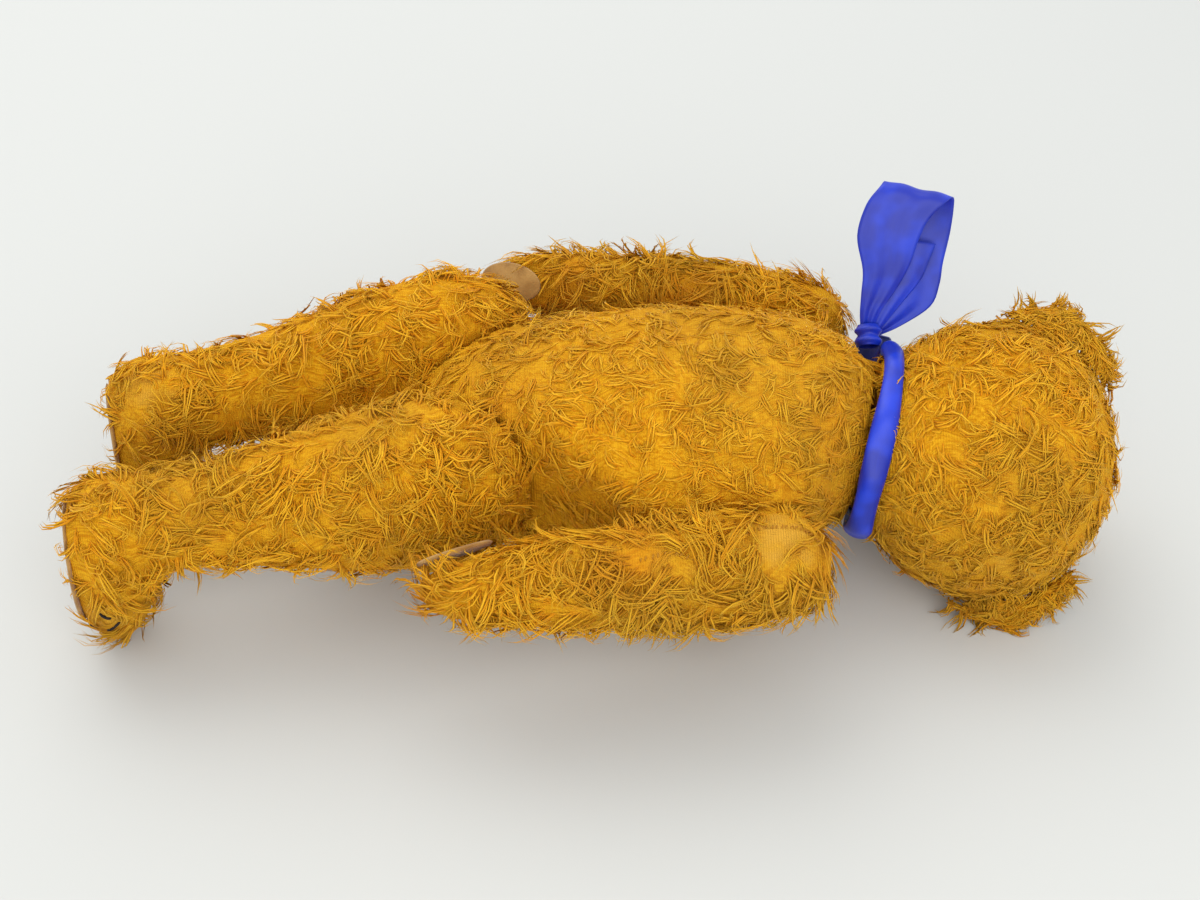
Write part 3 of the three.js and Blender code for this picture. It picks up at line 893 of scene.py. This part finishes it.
    def strand(
        self, locks: Locks, middle: Points, length: Points, random: np.random.Generator
    ) -> tuple[Points, Points]:
        """One strand of every lock, set off from the lock's middle at the root and drawn in at the tip.

        Args:
            locks: The panel's locks.
            middle: Each lock's middle line from its root, in even steps.
            length: Each lock's length.
            random: The panel's generator.

        Returns:
            The strands' points, and each strand's tone.
        """
        count = len(locks.roots)
        turn = random.uniform(0, math.tau, count)
        off = self.spread * np.sqrt(random.uniform(size=count))
        apart = (locks.lay * np.cos(turn)[:, None] + locks.side * np.sin(turn)[:, None]) * off[:, None]
        own = random.normal(1.0, 0.12, count).clip(0.6, 1.3)
        levels = np.unique(np.round(BLADE.along, 6))
        at = np.interp(levels, np.linspace(0, 1, self.steps + 1), np.arange(self.steps + 1))
        low = np.floor(at).astype(int).clip(0, self.steps - 1)
        part = (at - low)[None, :, None]
        line = middle[:, low] * (1 - part) + middle[:, low + 1] * part
        line = line * own[:, None, None]
        gather = (1 - self.gather * levels**0.8)[None, :, None]
        level = levels[None, :, None]
        bends = level * random.uniform(2, 6, (count, 1, 1))
        waves = np.sin(bends + random.uniform(0, math.tau, (count, 1, 3)))
        wobble = 0.05 * length[:, None, None] * waves * level
        start = (locks.roots - self.rooted * locks.normals)[:, None]
        centre = start + line + apart[:, None] * gather + wobble
        tangent = unit(np.gradient(centre, axis=1))
        across = unit(np.cross(tangent, locks.normals[:, None] + 0.35 * locks.lay[:, None]))
        upward = np.cross(across, tangent)
        taper = (1 - levels**2.2) * 0.93 + 0.07
        half_wide = self.wide / 2 * random.uniform(0.75, 1.25, (count, 1)) * taper
        half_thick = self.thick / 2 * np.broadcast_to(taper, (count, len(levels)))
        index = np.searchsorted(levels, np.round(BLADE.along, 6))
        tip = (BLADE.along > NEAR_TIP)[None, :, None]
        ring = (
            across[:, index] * (np.cos(BLADE.angle)[None] * half_wide[:, index])[..., None]
            + upward[:, index] * (np.sin(BLADE.angle)[None] * half_thick[:, index])[..., None]
        )
        return centre[:, index] + ring * ~tip, random.uniform(size=count)

    def mesh_of(self, places: Points, tones: Points) -> bpy.types.Object:
        """One mesh of all the strands, with what its material and its own map need.

        Args:
            places: Each strand's points.
            tones: Each strand's tone.

        Returns:
            The pile's object.
        """
        strands, points = places.shape[:2]
        nth = np.arange(strands)[:, None]
        loops = np.concatenate([np.array(face) for face in BLADE.faces])
        first = np.cumsum([0, *(len(face) for face in BLADE.faces[:-1])])
        mesh = bpy.data.meshes.new(self.name)
        mesh.vertices.add(strands * points)
        mesh.loops.add(strands * len(loops))
        mesh.polygons.add(strands * len(BLADE.faces))
        mesh.vertices.foreach_set("co", places.ravel())
        mesh.loops.foreach_set("vertex_index", (loops[None] + points * nth).astype(np.int32).ravel())
        mesh.polygons.foreach_set("loop_start", (first[None] + len(loops) * nth).astype(np.int32).ravel())
        mesh.update(calc_edges=True)
        self.map_cells(mesh, strands)
        values = {
            "tone": np.repeat(tones, points),
            "along": np.tile(BLADE.along, strands),
            "across": np.tile((BLADE.angle + math.pi) / math.tau, strands),
        }
        for name, numbers in values.items():
            attribute = mesh.attributes.new(name, "FLOAT", "POINT")
            attribute.data.foreach_set("value", numbers.astype(np.float32))
        return dressed(self.name, mesh, MOHAIR)

    def map_cells(self, mesh: bpy.types.Mesh, strands: int) -> None:
        """Gives each strand its own tall cell of the map, wound off the strand side by side.

        Args:
            mesh: The pile's mesh.
            strands: How many strands it has.
        """
        columns = max(1, math.ceil(math.sqrt(strands * 4.0)))
        rows = math.ceil(strands / columns)
        start = BLADE.angle[np.argmin(np.abs(BLADE.along))] % math.tau
        corner_u, corner_v = [], []
        for face in BLADE.faces:
            round_it = np.array([BLADE.angle[i] for i in face]) % math.tau
            lengthwise = np.array([BLADE.along[i] for i in face])
            if np.ptp(lengthwise) < 1e-6:
                corner_u += list(0.3 + 0.3 * np.cos(round_it))
                corner_v += list(0.04 + 0.03 * np.sin(round_it))
                continue
            tips = lengthwise > NEAR_TIP
            if np.ptp(round_it[~tips]) > math.pi:
                round_it = np.where(round_it < math.pi / 2, round_it + math.tau, round_it)
            round_it = np.where(tips, round_it[~tips].mean(), round_it)
            corner_u += list(0.08 + 0.8 * ((round_it - start) / math.tau % 1.0001))
            corner_v += list(0.1 + 0.86 * lengthwise)
        cell = np.arange(strands)
        u = (cell % columns)[:, None] + np.array(corner_u)[None]
        v = (cell // columns)[:, None] + np.array(corner_v)[None]
        layer = mesh.uv_layers.new(name="OFBake")
        layer.data.foreach_set("uv", np.stack([u / columns, v / rows], axis=-1).astype(np.float32).ravel())


def above_floor(height: Points) -> Points:
    """Heights with everything near or under the floor pressed into a thin layer on it."""
    soft, least = 1.6 * MM, 0.35 * MM
    pressed = least + (soft - least) * np.exp(np.minimum(height - soft, 0) / (soft - least))
    return np.where(height < soft, pressed, height)


# The ribbon.


Edge = tuple[float, float, float]
KNOT_SIDE = np.array([0, 0.8, 0.6])
RIGHT_SIDE = np.array([0, -0.6, 0.8])


@dataclass(frozen=True)
class Strip:
    """A run of ribbon: its two sides in millimetres, its waves' depth, and whether it is folded under."""

    left: Points
    right: Points
    wave: float = 0.4
    folded: bool = False


def smooth_through(rows: Points, steps: int) -> Points:
    """A Catmull-Rom line through the rows.

    Args:
        rows: The points that the line passes.
        steps: How many steps it takes from one to the next.

    Returns:
        The line's points as rows.
    """
    ends = np.concatenate([2 * rows[:1] - rows[1:2], rows, 2 * rows[-1:] - rows[-2:-1]])
    line = []
    for before, start, stop, after in zip(ends, ends[1:], ends[2:], ends[3:]):
        for share in np.arange(steps) / steps:
            line.append(0.5 * (
                2 * start + (stop - before) * share + (2 * before - 5 * start + 4 * stop - after) * share**2
                + (3 * start - before - 3 * stop + after) * share**3
            ))
    return np.array([*line, rows[-1]])


@dataclass
class RibbonBow:
    """The satin ribbon: a folded band in the neck, a knot, one standing loop, and two cut tails."""

    wide: float = 33.0
    radius: float = 42.4
    shift: float = 4.5
    band_half: float = 5.9
    fold: float = 3.3
    thick: float = 0.35
    columns: int = 18
    steps: int = 5
    length: float = field(init=False, default=0.0)

    def __post_init__(self) -> None:
        """Takes the neck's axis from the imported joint."""
        joint = next(j for j in frame["joints"] if j["name"] == "neck")
        self.at = np.array(joint["pos_m"]) / MM
        self.axis = unit(np.array(joint["axis"], float))

    def bow(self, above: float, towards: float, along: float) -> Points:
        """A point beside the knot.

        Args:
            above: How far it lies from the neck's axis towards the knot.
            towards: How far it lies towards the bear's right.
            along: How far it lies towards the crown.

        Returns:
            The point, in millimetres.
        """
        return self.at + above * KNOT_SIDE + towards * RIGHT_SIDE + np.array([along, 0, 0])

    def strip(self, *rows: tuple[Edge, Edge]) -> Strip:
        """A run of ribbon from pairs of edges that are given beside the knot."""
        left, right = (np.array([self.bow(*row[side]) for row in rows]) for side in (0, 1))
        return Strip(left, right)

    def loop(self) -> Strip:
        """The standing loop: gathered at the knot, up its near side, over the top and down its far side."""
        near = (
            ((50, 2, 0), (50, 3, 5)), ((58, 7, -1), (58, 8, 8)), ((66, 12, -1), (68, 13, 15)),
            ((76, 18, -1), (78, 19, 20.5)), ((90, 26, -4.5), (89, 25, 24)), ((103, 31, -1), (97, 29, 28)),
            ((111, 33, 5), (104, 32, 35)), ((115, 30, 8), (108, 28, 39.5)),
        )
        far = (
            ((113, 24, 8), (105.5, 22, 41)), ((103, 18, 7), (95, 14, 40.5)), ((88, 12, 7), (82, 8, 38)),
            ((74, 7, 9), (73, 4, 37)), ((63, 4, 8), (63, 1, 33)), ((53, 1, 4), (54, -1, 19)),
            ((49, 0, 1), (49, -1, 8)),
        )
        return self.strip(*near, *far)

    def inner_tail(self) -> Strip:
        """The short tail that stands inside the loop, with its cut end up."""
        return self.strip(
            ((50, 1, 2), (50, 1, 8)), ((60, 6, 3), (61, 5, 17)), ((73, 12, 4), (73, 9, 27)),
            ((84, 17, 4), (82, 13, 31)), ((93, 20, 5), (89, 16, 33.5)),
        )

    def far_tail(self) -> Strip:
        """The long tail that hangs down the far side of the neck, turned a little on itself."""
        return self.strip(
            ((50, 0, 2), (50, -1, 6)), ((53, -12, 2), (52, -13, 14)), ((51, -28, 1), (53, -29, 20)),
            ((42, -46, 0), (45, -47, 23)), ((28, -63, 0), (31, -64, 25)),
        )

    def band(self) -> Strip:
        """The band round the neck, its edges folded under, from under the knot right round to it."""
        start = unit(KNOT_SIDE - self.axis * (KNOT_SIDE @ self.axis))
        side = np.cross(self.axis, start)
        left, right = [], []
        for turn in np.linspace(0, math.tau, 25):
            outward = start * math.cos(turn) + side * math.sin(turn)
            reach = self.radius + 0.8 * math.sin(3 * turn)
            middle = self.at + outward * reach + self.axis * (self.shift + 1.2 * math.sin(2 * turn))
            narrowed = (0.42 + 0.58 * math.sin(turn / 2) ** 0.6) * (1 + 0.1 * math.sin(4 * turn + 1))
            across = self.axis * self.band_half * narrowed + outward * 1.6 * math.sin(2 * turn + 0.6)
            left.append(middle - across)
            right.append(middle + across)
        return Strip(np.array(left), np.array(right), self.fold, True)

    def knot(self) -> Strip:
        """The turn of ribbon that holds the bow together."""
        turns = np.linspace(0, math.tau, 13)
        left, right = (
            np.array([self.bow(above, 2 + 6.0 * math.sin(t), 3.5 + 5.5 * math.cos(t)) for t in turns])
            for above in (43.5, 53.5)
        )
        return Strip(left, right, 0.8)

    def add_strip(self, shape: bmesh.types.BMesh, layer: bmesh.types.BMLayerItem, strip: Strip) -> None:
        """Lays a grid of faces along a run of ribbon and adds its length to the ribbon's.

        Args:
            shape: The bmesh that the run joins.
            layer: The map that the weave follows.
            strip: The run of ribbon.
        """
        left, right = (smooth_through(edge, self.steps) * MM for edge in (strip.left, strip.right))
        middles = (left + right) / 2
        away = unit(np.cross(np.gradient(middles, axis=0), right - left)) * strip.wave * MM
        run = np.concatenate([[0], np.cumsum(np.linalg.norm(np.diff(middles, axis=0), axis=1))])
        rows = len(middles) - 1
        made = bmesh.ops.create_grid(shape, x_segments=rows, y_segments=self.columns, size=1.0)["verts"]
        flat = {vertex: (round((vertex.co.x + 1) / 2 * rows), (vertex.co.y + 1) / 2) for vertex in made}
        for face in {face for vertex in made for face in vertex.link_faces}:
            for loop in face.loops:
                row, share = flat[loop.vert]
                loop[layer].uv = (run[row] / (self.wide * MM), share)
        for vertex, (row, share) in flat.items():
            place = left[row] * (1 - share) + right[row] * share
            wave = math.cos(2 * math.tau * share + 0.35 * math.sin(0.3 * row))
            if strip.folded:
                turn = math.tau * (0.94 * share - 0.22)
                place = middles[row] + (right[row] - left[row]) / 2 * math.cos(turn)
                wave = math.sin(turn) * (1 + 0.35 * math.sin(0.5 * row))
            vertex.co = Vector(place + away[row] * wave)
        self.length += float(run[-1])

    def build(self) -> bpy.types.Object:
        """Makes the ribbon as one satin piece.

        Returns:
            The ribbon's object.
        """
        shape = bmesh.new()
        layer = shape.loops.layers.uv.new("ribbon")
        for strip in (self.band(), self.loop(), self.inner_tail(), self.far_tail(), self.knot()):
            self.add_strip(shape, layer, strip)
        ribbon = dressed("satin_neck_ribbon", finished_mesh("satin_neck_ribbon", shape), SATIN)
        solid = ribbon.modifiers.new("thickness", "SOLIDIFY")
        solid.thickness = self.thick * MM
        solid.offset = 0.0
        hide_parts("neck_ribbon")
        LOG.info("ribbon: %.0f mm of line", self.length / MM)
        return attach(ribbon, "head")


# Felt, glass and thread.


@dataclass(frozen=True)
class NodeFrame:
    """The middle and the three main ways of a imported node, longest first."""

    middle: Points
    ways: Points
    reach: Points

    @classmethod
    def of(cls, node: str, outward: Points) -> "NodeFrame":
        """Measures a node.

        Args:
            node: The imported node's name.
            outward: A way that the shortest axis has to agree with.

        Returns:
            The node's frame.
        """
        places = vertices_of(frame["nodes"][node].data)
        middle = (places.max(0) + places.min(0)) / 2
        ways = np.linalg.eigh(np.cov((places - places.mean(0)).T))[1][:, ::-1].T
        if ways[2] @ outward < 0:
            ways[2] *= -1
        ways[1] = np.cross(ways[2], ways[0])
        reach = np.abs((places - middle) @ ways.T).max(0)
        return cls(middle, ways, reach)

    def matrix(self) -> Matrix:
        """The frame as a matrix, unscaled."""
        turned = Matrix(self.ways.T.tolist()).to_4x4()
        return Matrix.Translation(Vector(self.middle)) @ turned


@dataclass
class FeltPad:
    """A thin felt pad let into a paw or a sole, crowned by the filling behind it."""

    node: str
    body: str
    toward: tuple[float, float, float]
    crown: float = 2.2 * MM
    sunk: float = 3.1 * MM
    fit: float = 0.84
    segments: int = 44
    rims: tuple[tuple[float, float], ...] = (
        (1.06, 0.35), (1.0, 0.75), (0.86, 0.9), (0.62, 0.98), (0.34, 1.0)
    )

    def build(self) -> bpy.types.Object:
        """Makes the pad in the place of its plain plate.

        Returns:
            The pad's object.
        """
        place = NodeFrame.of(self.node, np.array(self.toward))
        shape = bmesh.new()
        made = bmesh.ops.create_circle(shape, cap_ends=True, segments=self.segments, radius=1.0)["verts"]
        face = made[0].link_faces[0]
        for share, height in self.rims:
            grown = bmesh.ops.extrude_face_region(shape, geom=[face])["geom"]
            bmesh.ops.delete(shape, geom=[face], context="FACES_ONLY")
            faces = (part for part in grown if isinstance(part, bmesh.types.BMFace))
            face = next(part for part in faces if len(part.verts) == self.segments)
            for vertex in face.verts:
                flat = Vector((vertex.co.x, vertex.co.y, 0)).normalized()
                vertex.co = flat * share + Vector((0, 0, height))
        bmesh.ops.poke(shape, faces=[face])
        bmesh.ops.holes_fill(shape, edges=shape.edges, sides=self.segments)
        bmesh.ops.recalc_face_normals(shape, faces=shape.faces)
        scale = Matrix.Diagonal((place.reach[0] * self.fit, place.reach[1] * self.fit, self.crown, 1.0))
        sink = Matrix.Translation(Vector(place.ways[2] * -self.sunk))
        bmesh.ops.transform(shape, matrix=sink @ place.matrix() @ scale, verts=shape.verts)
        pad = dressed(f"{self.node}_felt", finished_mesh(self.node, shape), FELT)
        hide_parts(self.node)
        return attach(pad, self.body)


Row = tuple[Edge, ...]


def stitches_along(row: Row, count: int, long: float, slant: float) -> list[tuple[Vector, Vector]]:
    """Short stitches spaced evenly along a row, each turned across it.

    Args:
        row: The points that the row passes, in millimetres.
        count: How many stitches it has.
        long: Each stitch's length.
        slant: Each stitch's turn from the row's own way, in radians.

    Returns:
        Where each stitch comes out and goes in.
    """
    line = smooth_through(np.array(row, float), 12) * MM
    spots = np.linspace(0, len(line) - 2, count).astype(int)
    made = []
    for n, spot in enumerate(spots):
        way = Vector(unit(line[spot + 1] - line[spot]))
        turned = (Matrix.Rotation(slant + 0.2 * math.sin(5 * n), 3, "Z") @ way) * long / 2
        made.append((Vector(line[spot]) - turned, Vector(line[spot]) + turned))
    return made


def sew(
    name: str, stitches: Sequence[tuple[Vector, Vector]], radius: float, material: bpy.types.Material,
    skin: bpy.types.Object, body: str, lift: float = 0.5 * MM,
) -> bpy.types.Object:
    """Threads that arch a little from the cloth at each stitch.

    Args:
        name: The piece's name.
        stitches: Where each stitch comes out of the cloth and goes in.
        radius: The thread's radius in metres.
        material: The thread's material.
        skin: The cloth that they are sewn through.
        body: The body that it moves with.
        lift: How far the thread lies over the cloth.

    Returns:
        The thread's object.
    """
    shape = bmesh.new()
    for ends in stitches:
        (_, start, out, _), (_, stop, _, _) = (skin.closest_point_on_mesh(end) for end in ends)
        first = len(shape.verts)
        made = bmesh.ops.create_cone(
            shape, cap_ends=True, segments=6, radius1=1.0, radius2=1.0, depth=1.0
        )["verts"]
        sides = {e for v in made for e in v.link_edges if abs(e.verts[0].co.z - e.verts[1].co.z) > 0.5}
        bmesh.ops.subdivide_edges(shape, edges=list(sides), cuts=3)
        shape.verts.ensure_lookup_table()
        along = stop - start
        across = along.cross(out).normalized()
        upward = across.cross(along).normalized()
        for vertex in shape.verts[first:]:
            share = vertex.co.z + 0.5
            arch = upward * (2 * lift * math.sin(math.pi * share) ** 0.5)
            vertex.co = start + along * share + arch + (across * vertex.co.x + upward * vertex.co.y) * radius
    bmesh.ops.recalc_face_normals(shape, faces=shape.faces)
    thread = dressed(name, finished_mesh(name, shape), material)
    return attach(thread, body)


def out_of_face(middle: Vector) -> Vector:
    """The way out of the head at a place on it."""
    low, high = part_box("head_stuffing")
    return (middle - (low + high) / 2).normalized()


def glass_eye(side: Side) -> bpy.types.Object:
    """A domed glass eye in the place of its plain ball, looking out of the face.

    Args:
        side: The bear's side that it is on.

    Returns:
        The eye's object.
    """
    node = f"{side.word}_glass_eye"
    low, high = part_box(node)
    middle, radius = (low + high) / 2, (high.x - low.x) / 2
    shape = bmesh.new()
    layer = shape.loops.layers.uv.new("eye")
    bmesh.ops.create_uvsphere(shape, u_segments=24, v_segments=16, radius=1.0)
    for face in shape.faces:
        for loop in face.loops:
            loop[layer].uv = (math.acos(max(-1.0, min(1.0, loop.vert.co.z))) / math.pi * 2, 0.5)
    turned = Matrix.Translation(middle) @ out_of_face(middle).to_track_quat("Z", "Y").to_matrix().to_4x4()
    domed = Matrix.Diagonal((radius, radius, radius * 0.92, 1))
    bmesh.ops.transform(shape, matrix=turned @ domed, verts=shape.verts)
    eye = dressed(f"{side.word}_eye", finished_mesh(node, shape), GLASS)
    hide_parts(node)
    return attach(eye, "head")


def stitched_nose() -> bpy.types.Object:
    """The nose, sewn with close upright threads over a small padded oval.

    Returns:
        The nose's object.
    """
    low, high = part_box("stitched_nose")
    place = NodeFrame.of("stitched_nose", np.array(out_of_face((low + high) / 2)))
    shape = bmesh.new()
    bmesh.ops.create_uvsphere(shape, u_segments=72, v_segments=20, radius=1.0)
    for vertex in shape.verts:
        ridge = 1 + 0.05 * math.sin(vertex.co.x * 34.0)
        vertex.co = Vector((vertex.co.x, vertex.co.y * ridge, vertex.co.z * ridge))
    scale = Matrix.Diagonal((*place.reach, 1.0))
    bmesh.ops.transform(shape, matrix=place.matrix() @ scale, verts=shape.verts)
    for vertex in shape.verts:
        vertex.co.z = max(vertex.co.z, 0.3 * MM)
    nose = dressed("thread_nose", finished_mesh("thread_nose", shape), BLACK_THREAD)
    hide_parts("stitched_nose")
    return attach(nose, "head")


# The bear.


@dataclass
class Member:
    """One stuffed piece of the bear: its skin, the panels of its pile, and its worn places.

    Attributes:
        name: The piece's own name.
        body: The body that it moves with.
        covers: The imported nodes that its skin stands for.
        inside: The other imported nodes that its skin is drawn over.
        panels: The lay of each panel's pile, by the panel's name.
        patches: Its worn places.
        pads: The felt pads let into it.
        cuts: Which places belong to a panel, where a skin has more than one.
        voxel: How finely its skin is remeshed.
        inset: How deep its skin lies under the pile.
    """

    name: str
    body: str
    covers: tuple[str, ...]
    inside: tuple[str, ...]
    panels: dict[str, PilePlan]
    patches: tuple[Wear, ...] = ()
    pads: tuple[str, ...] = ()
    cuts: dict[str, Callable[[Points], Points]] = field(default_factory=dict)
    voxel: float = 4.2 * MM
    inset: float = 3.6 * MM
    skin: bpy.types.Object = field(init=False)

    def build_skin(self, members: Sequence["Member"]) -> None:
        """Makes the skin clear of every other piece's covers.

        Args:
            members: All of the bear's members.
        """
        others = tuple(n for m in members if m is not self for n in m.covers)
        nodes = (*self.covers, *self.inside)
        self.skin = Skin(f"{self.name}_skin", nodes, others, self.voxel, self.inset).build()
        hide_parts(*self.covers)
        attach(self.skin, self.body)
        mesh = self.skin.data
        wear = mesh.attributes.new("wear", "FLOAT", "POINT")
        wear.data.foreach_set("value", worn(vertices_of(mesh), self.patches).astype(np.float32))

    def grow(self, members: Sequence["Member"]) -> None:
        """Grows every panel of this member's pile.

        Args:
            members: All of the bear's members, whose skins are made.
        """
        others = tree_of(member.skin.data for member in members if member is not self)
        felt = tree_of(packed(self.pads)) if self.pads else None
        for panel, plan in self.panels.items():
            pile = Pile(panel, self.skin, plan, others, self.patches, self.cuts.get(panel), felt).build()
            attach(pile, self.body)


def hardware(joint: str, part: str) -> tuple[str, ...]:
    """The board, washer and pin of one joint that lie in one body."""
    names = (f"{joint}_{part}_disc", f"{joint}_{part}_washer")
    return (*names, f"{joint}_cotter_pin") if part == "body" else names


SHOULDER_WEAR = (Wear((80, -91, 98), 15, 0.02), Wear((30, -105, 98), 9, 0.3))
FOOT_WEAR = {
    Side.RIGHT: (Wear((-219, -92, 34), 12, 0.3),),
    Side.LEFT: (Wear((-205, 2, 97), 13, 0.3), Wear((-217, -6, 92), 9, 0.25)),
}
HEAD_WEAR = (Wear((179, -78, 60), 7, 0.4),)
CLAWS: tuple[Row, ...] = (
    ((-233, -84, 25), (-226, -89, 27)),
    ((-221, -93, 40), (-215, -93, 37)),
    ((-220, -93, 25), (-211, -92, 33)),
)
SHOULDER_DARN: Row = ((61, -94, 101), (70, -89, 101), (80, -86, 99), (90, -87, 97), (97, -93, 92))
ARM_DARN: Row = ((18, -106, 98), (30, -103, 99), (41, -106, 98))
BELLY_TOP = 60 * MM
CLAW_RADIUS = 0.7 * MM
CLAW_LIFT = 0.4 * MM
DARN_RADIUS = 0.28 * MM
DARN_LONG = 2.4 * MM


@dataclass
class Bear:
    """The whole bear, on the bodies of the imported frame."""

    joints: tuple[str, ...] = ("neck", "right_shoulder", "left_shoulder", "right_hip", "left_hip")

    def members(self) -> list[Member]:
        """The bear's stuffed bodies with the lay of their mohair.

        Returns:
            The torso, the head, the ears, the arms and the legs.
        """
        back = PilePlan(7400, 13 * MM, 24, (-0.3, -0.3, 0), 11, weight=0.5)
        belly = PilePlan(3900, 13 * MM, 24, (-0.5, 0, 0), 12, weight=0.2)
        torso = Member(
            "torso",
            "torso",
            ("torso_cover", "torso_stuffing"),
            tuple(n for j in self.joints for n in hardware(j, "body")),
            {"torso_back_pile": back, "torso_belly_pile": belly},
            cuts={
                "torso_back_pile": lambda p: (p[:, 2] > BELLY_TOP).astype(float),
                "torso_belly_pile": lambda p: (p[:, 2] <= BELLY_TOP).astype(float),
            },
        )
        crown = PilePlan(
            8800, 14 * MM, 26, (0, 0, 0), 21, weight=0.35, curl=140, swirl=105, whorl=38 * MM,
            centre=(150, -30, 130),
        )
        head = Member(
            "head",
            "head",
            ("head_cover", "head_stuffing"),
            hardware("neck", "limb"),
            {"head_pile": crown},
            patches=HEAD_WEAR,
        )
        return [torso, head, *map(self.ear, Side), *map(self.arm, Side), *map(self.leg, Side)]

    def ear(self, side: Side) -> Member:
        """One ear, on the head's body."""
        ear = f"{side.word}_ear"
        plan = PilePlan(1250, 11 * MM, 28, (0.8, 0.2 * side.value, 0), 31)
        return Member(ear, "head", (ear,), (), {f"{ear}_pile": plan}, voxel=2.4 * MM, inset=1.2 * MM)

    def arm(self, side: Side) -> Member:
        """One arm."""
        arm, pad = f"{side.word}_arm", f"{side.word}_paw_pad"
        plan = PilePlan(3900, 18 * MM, 28, (-0.8, 0, 0), 41 + side.value, weight=0.8, swirl=55, curl=95)
        return Member(
            arm,
            arm,
            (f"{arm}_cover", f"{arm}_stuffing"),
            (pad, *hardware(f"{side.word}_shoulder", "limb")),
            {f"{arm}_pile": plan},
            patches=SHOULDER_WEAR if side is Side.RIGHT else (),
            pads=(pad,),
        )

    def leg(self, side: Side) -> Member:
        """One leg."""
        leg, pad = f"{side.word}_leg", f"{side.word}_sole_pad"
        plan = PilePlan(5700, 17 * MM, 30, (-0.25, 0, 0), 51 + side.value, weight=1.0, swirl=75, curl=130)
        return Member(
            leg,
            leg,
            (f"{leg}_cover", f"{leg}_stuffing"),
            (pad, *hardware(f"{side.word}_hip", "limb")),
            {f"{leg}_pile": plan},
            patches=FOOT_WEAR[side],
            pads=(pad,),
        )

    def build(self) -> None:
        """Builds every piece."""
        members = self.members()
        for member in members:
            member.build_skin(members)
        RibbonBow().build()
        for member in members:
            member.grow(members)
        for side in Side:
            FeltPad(f"{side.word}_paw_pad", f"{side.word}_arm", (-0.2, 0.8 * side.value, 0.8)).build()
            FeltPad(f"{side.word}_sole_pad", f"{side.word}_leg", (-1.0, 0.0, 0.0)).build()
            glass_eye(side)
        stitched_nose()
        skins = {member.name: member.skin for member in members}
        claws = [(Vector(start) * MM, Vector(stop) * MM) for start, stop in CLAWS]
        sew("claw_stitches", claws, CLAW_RADIUS, BLACK_THREAD, skins["right_leg"], "right_leg", CLAW_LIFT)
        darn = stitches_along(SHOULDER_DARN, 20, DARN_LONG, 1.1)
        darn += stitches_along(ARM_DARN, 10, DARN_LONG, 1.2)
        sew("darning_stitches", darn, DARN_RADIUS, DARN_THREAD, skins["right_arm"], "right_arm")
        self.dress_hardware()

    def dress_hardware(self) -> None:
        """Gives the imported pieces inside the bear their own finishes."""
        for name, node in frame["nodes"].items():
            if name.endswith("_disc"):
                finish = FIBREBOARD
            elif name.endswith(("_washer", "_pin")):
                finish = STEEL
            else:
                continue
            node.data.materials.clear()
            node.data.materials.append(finish)


# The table, the light and the camera.


@dataclass(frozen=True)
class Lamp:
    """A square area light: its place, its power in watts and its colour."""

    name: str
    place: tuple[float, float, float]
    watts: float
    colour: Colour
    size: float = 1.6


@dataclass(frozen=True)
class Studio:
    """A pale table under soft light, and a camera that looks down over the bear's right side.

    Attributes:
        aim: The point that the camera and the lamps look at, in millimetres.
        far: The camera's distance from it.
        elevation: The camera's height over the table in degrees.
        half_width: Half of the width that the camera sees at that point.
        sensor: The width of the camera's sensor.
        sky: The colour of the room's light.
        sky_strength: The strength of the room's light.
        lamps: The lamps.
    """

    aim: tuple[float, float, float] = (1.2, -8.4, 62.4)
    far: float = 760.0
    elevation: float = 45.0
    half_width: float = 280.0
    sensor: float = 36.0
    sky: Colour = (0.98, 0.99, 1.0)
    sky_strength: float = 0.95
    lamps: tuple[Lamp, ...] = (
        Lamp("window", (-0.5, 0.9, 1.5), 14.0, (1.0, 0.98, 0.94)),
        Lamp("fill", (0.3, -1.3, 0.9), 13.0, (1.0, 0.97, 0.92)),
    )

    def build(self) -> None:
        """Makes the table, the sky, the lamps and the camera."""
        shape = bmesh.new()
        bmesh.ops.create_grid(shape, x_segments=8, y_segments=8, size=3.0)
        dressed("table", finished_mesh("table", shape), TABLE)
        world = bpy.data.worlds.new("room")
        world.use_nodes = True
        room = {"Color": (*self.sky, 1.0), "Strength": self.sky_strength}
        Graph(world.node_tree).feed(world.node_tree.nodes["Background"], room)
        bpy.context.scene.world = world
        for lamp in self.lamps:
            self.hang(lamp)
        self.camera()

    def hang(self, lamp: Lamp) -> None:
        """Hangs a lamp, aimed at the bear's middle.

        Args:
            lamp: The lamp.
        """
        data = bpy.data.lights.new(lamp.name, "AREA")
        data.size, data.energy, data.color = lamp.size, lamp.watts, lamp.colour
        hung = bpy.data.objects.new(lamp.name, data)
        hung.location = lamp.place
        hung.rotation_mode = "QUATERNION"
        hung.rotation_quaternion = (Vector(lamp.place) - Vector(self.aim) * MM).to_track_quat("Z", "Y")
        bpy.context.scene.collection.objects.link(hung)

    def camera(self) -> None:
        """The camera over the bear's right side."""
        data = bpy.data.cameras.new("camera")
        data.sensor_width = self.sensor
        data.lens = self.sensor / 2 * self.far / self.half_width
        camera = bpy.data.objects.new("camera", data)
        lift = math.radians(self.elevation)
        back = Vector((0.0, -math.cos(lift), math.sin(lift)))
        camera.location = (Vector(self.aim) + back * self.far) * MM
        camera.rotation_mode = "QUATERNION"
        camera.rotation_quaternion = back.to_track_quat("Z", "Y")
        bpy.context.scene.collection.objects.link(camera)
        bpy.context.scene.camera = camera
        bpy.context.scene.view_settings.view_transform = "Standard"


def main() -> None:
    """Builds the bear and its studio."""
    logging.basicConfig(level=logging.INFO, format="%(name)s: %(message)s")
    Studio().build()
    Bear().build()


if __name__ == "__main__":
    main()
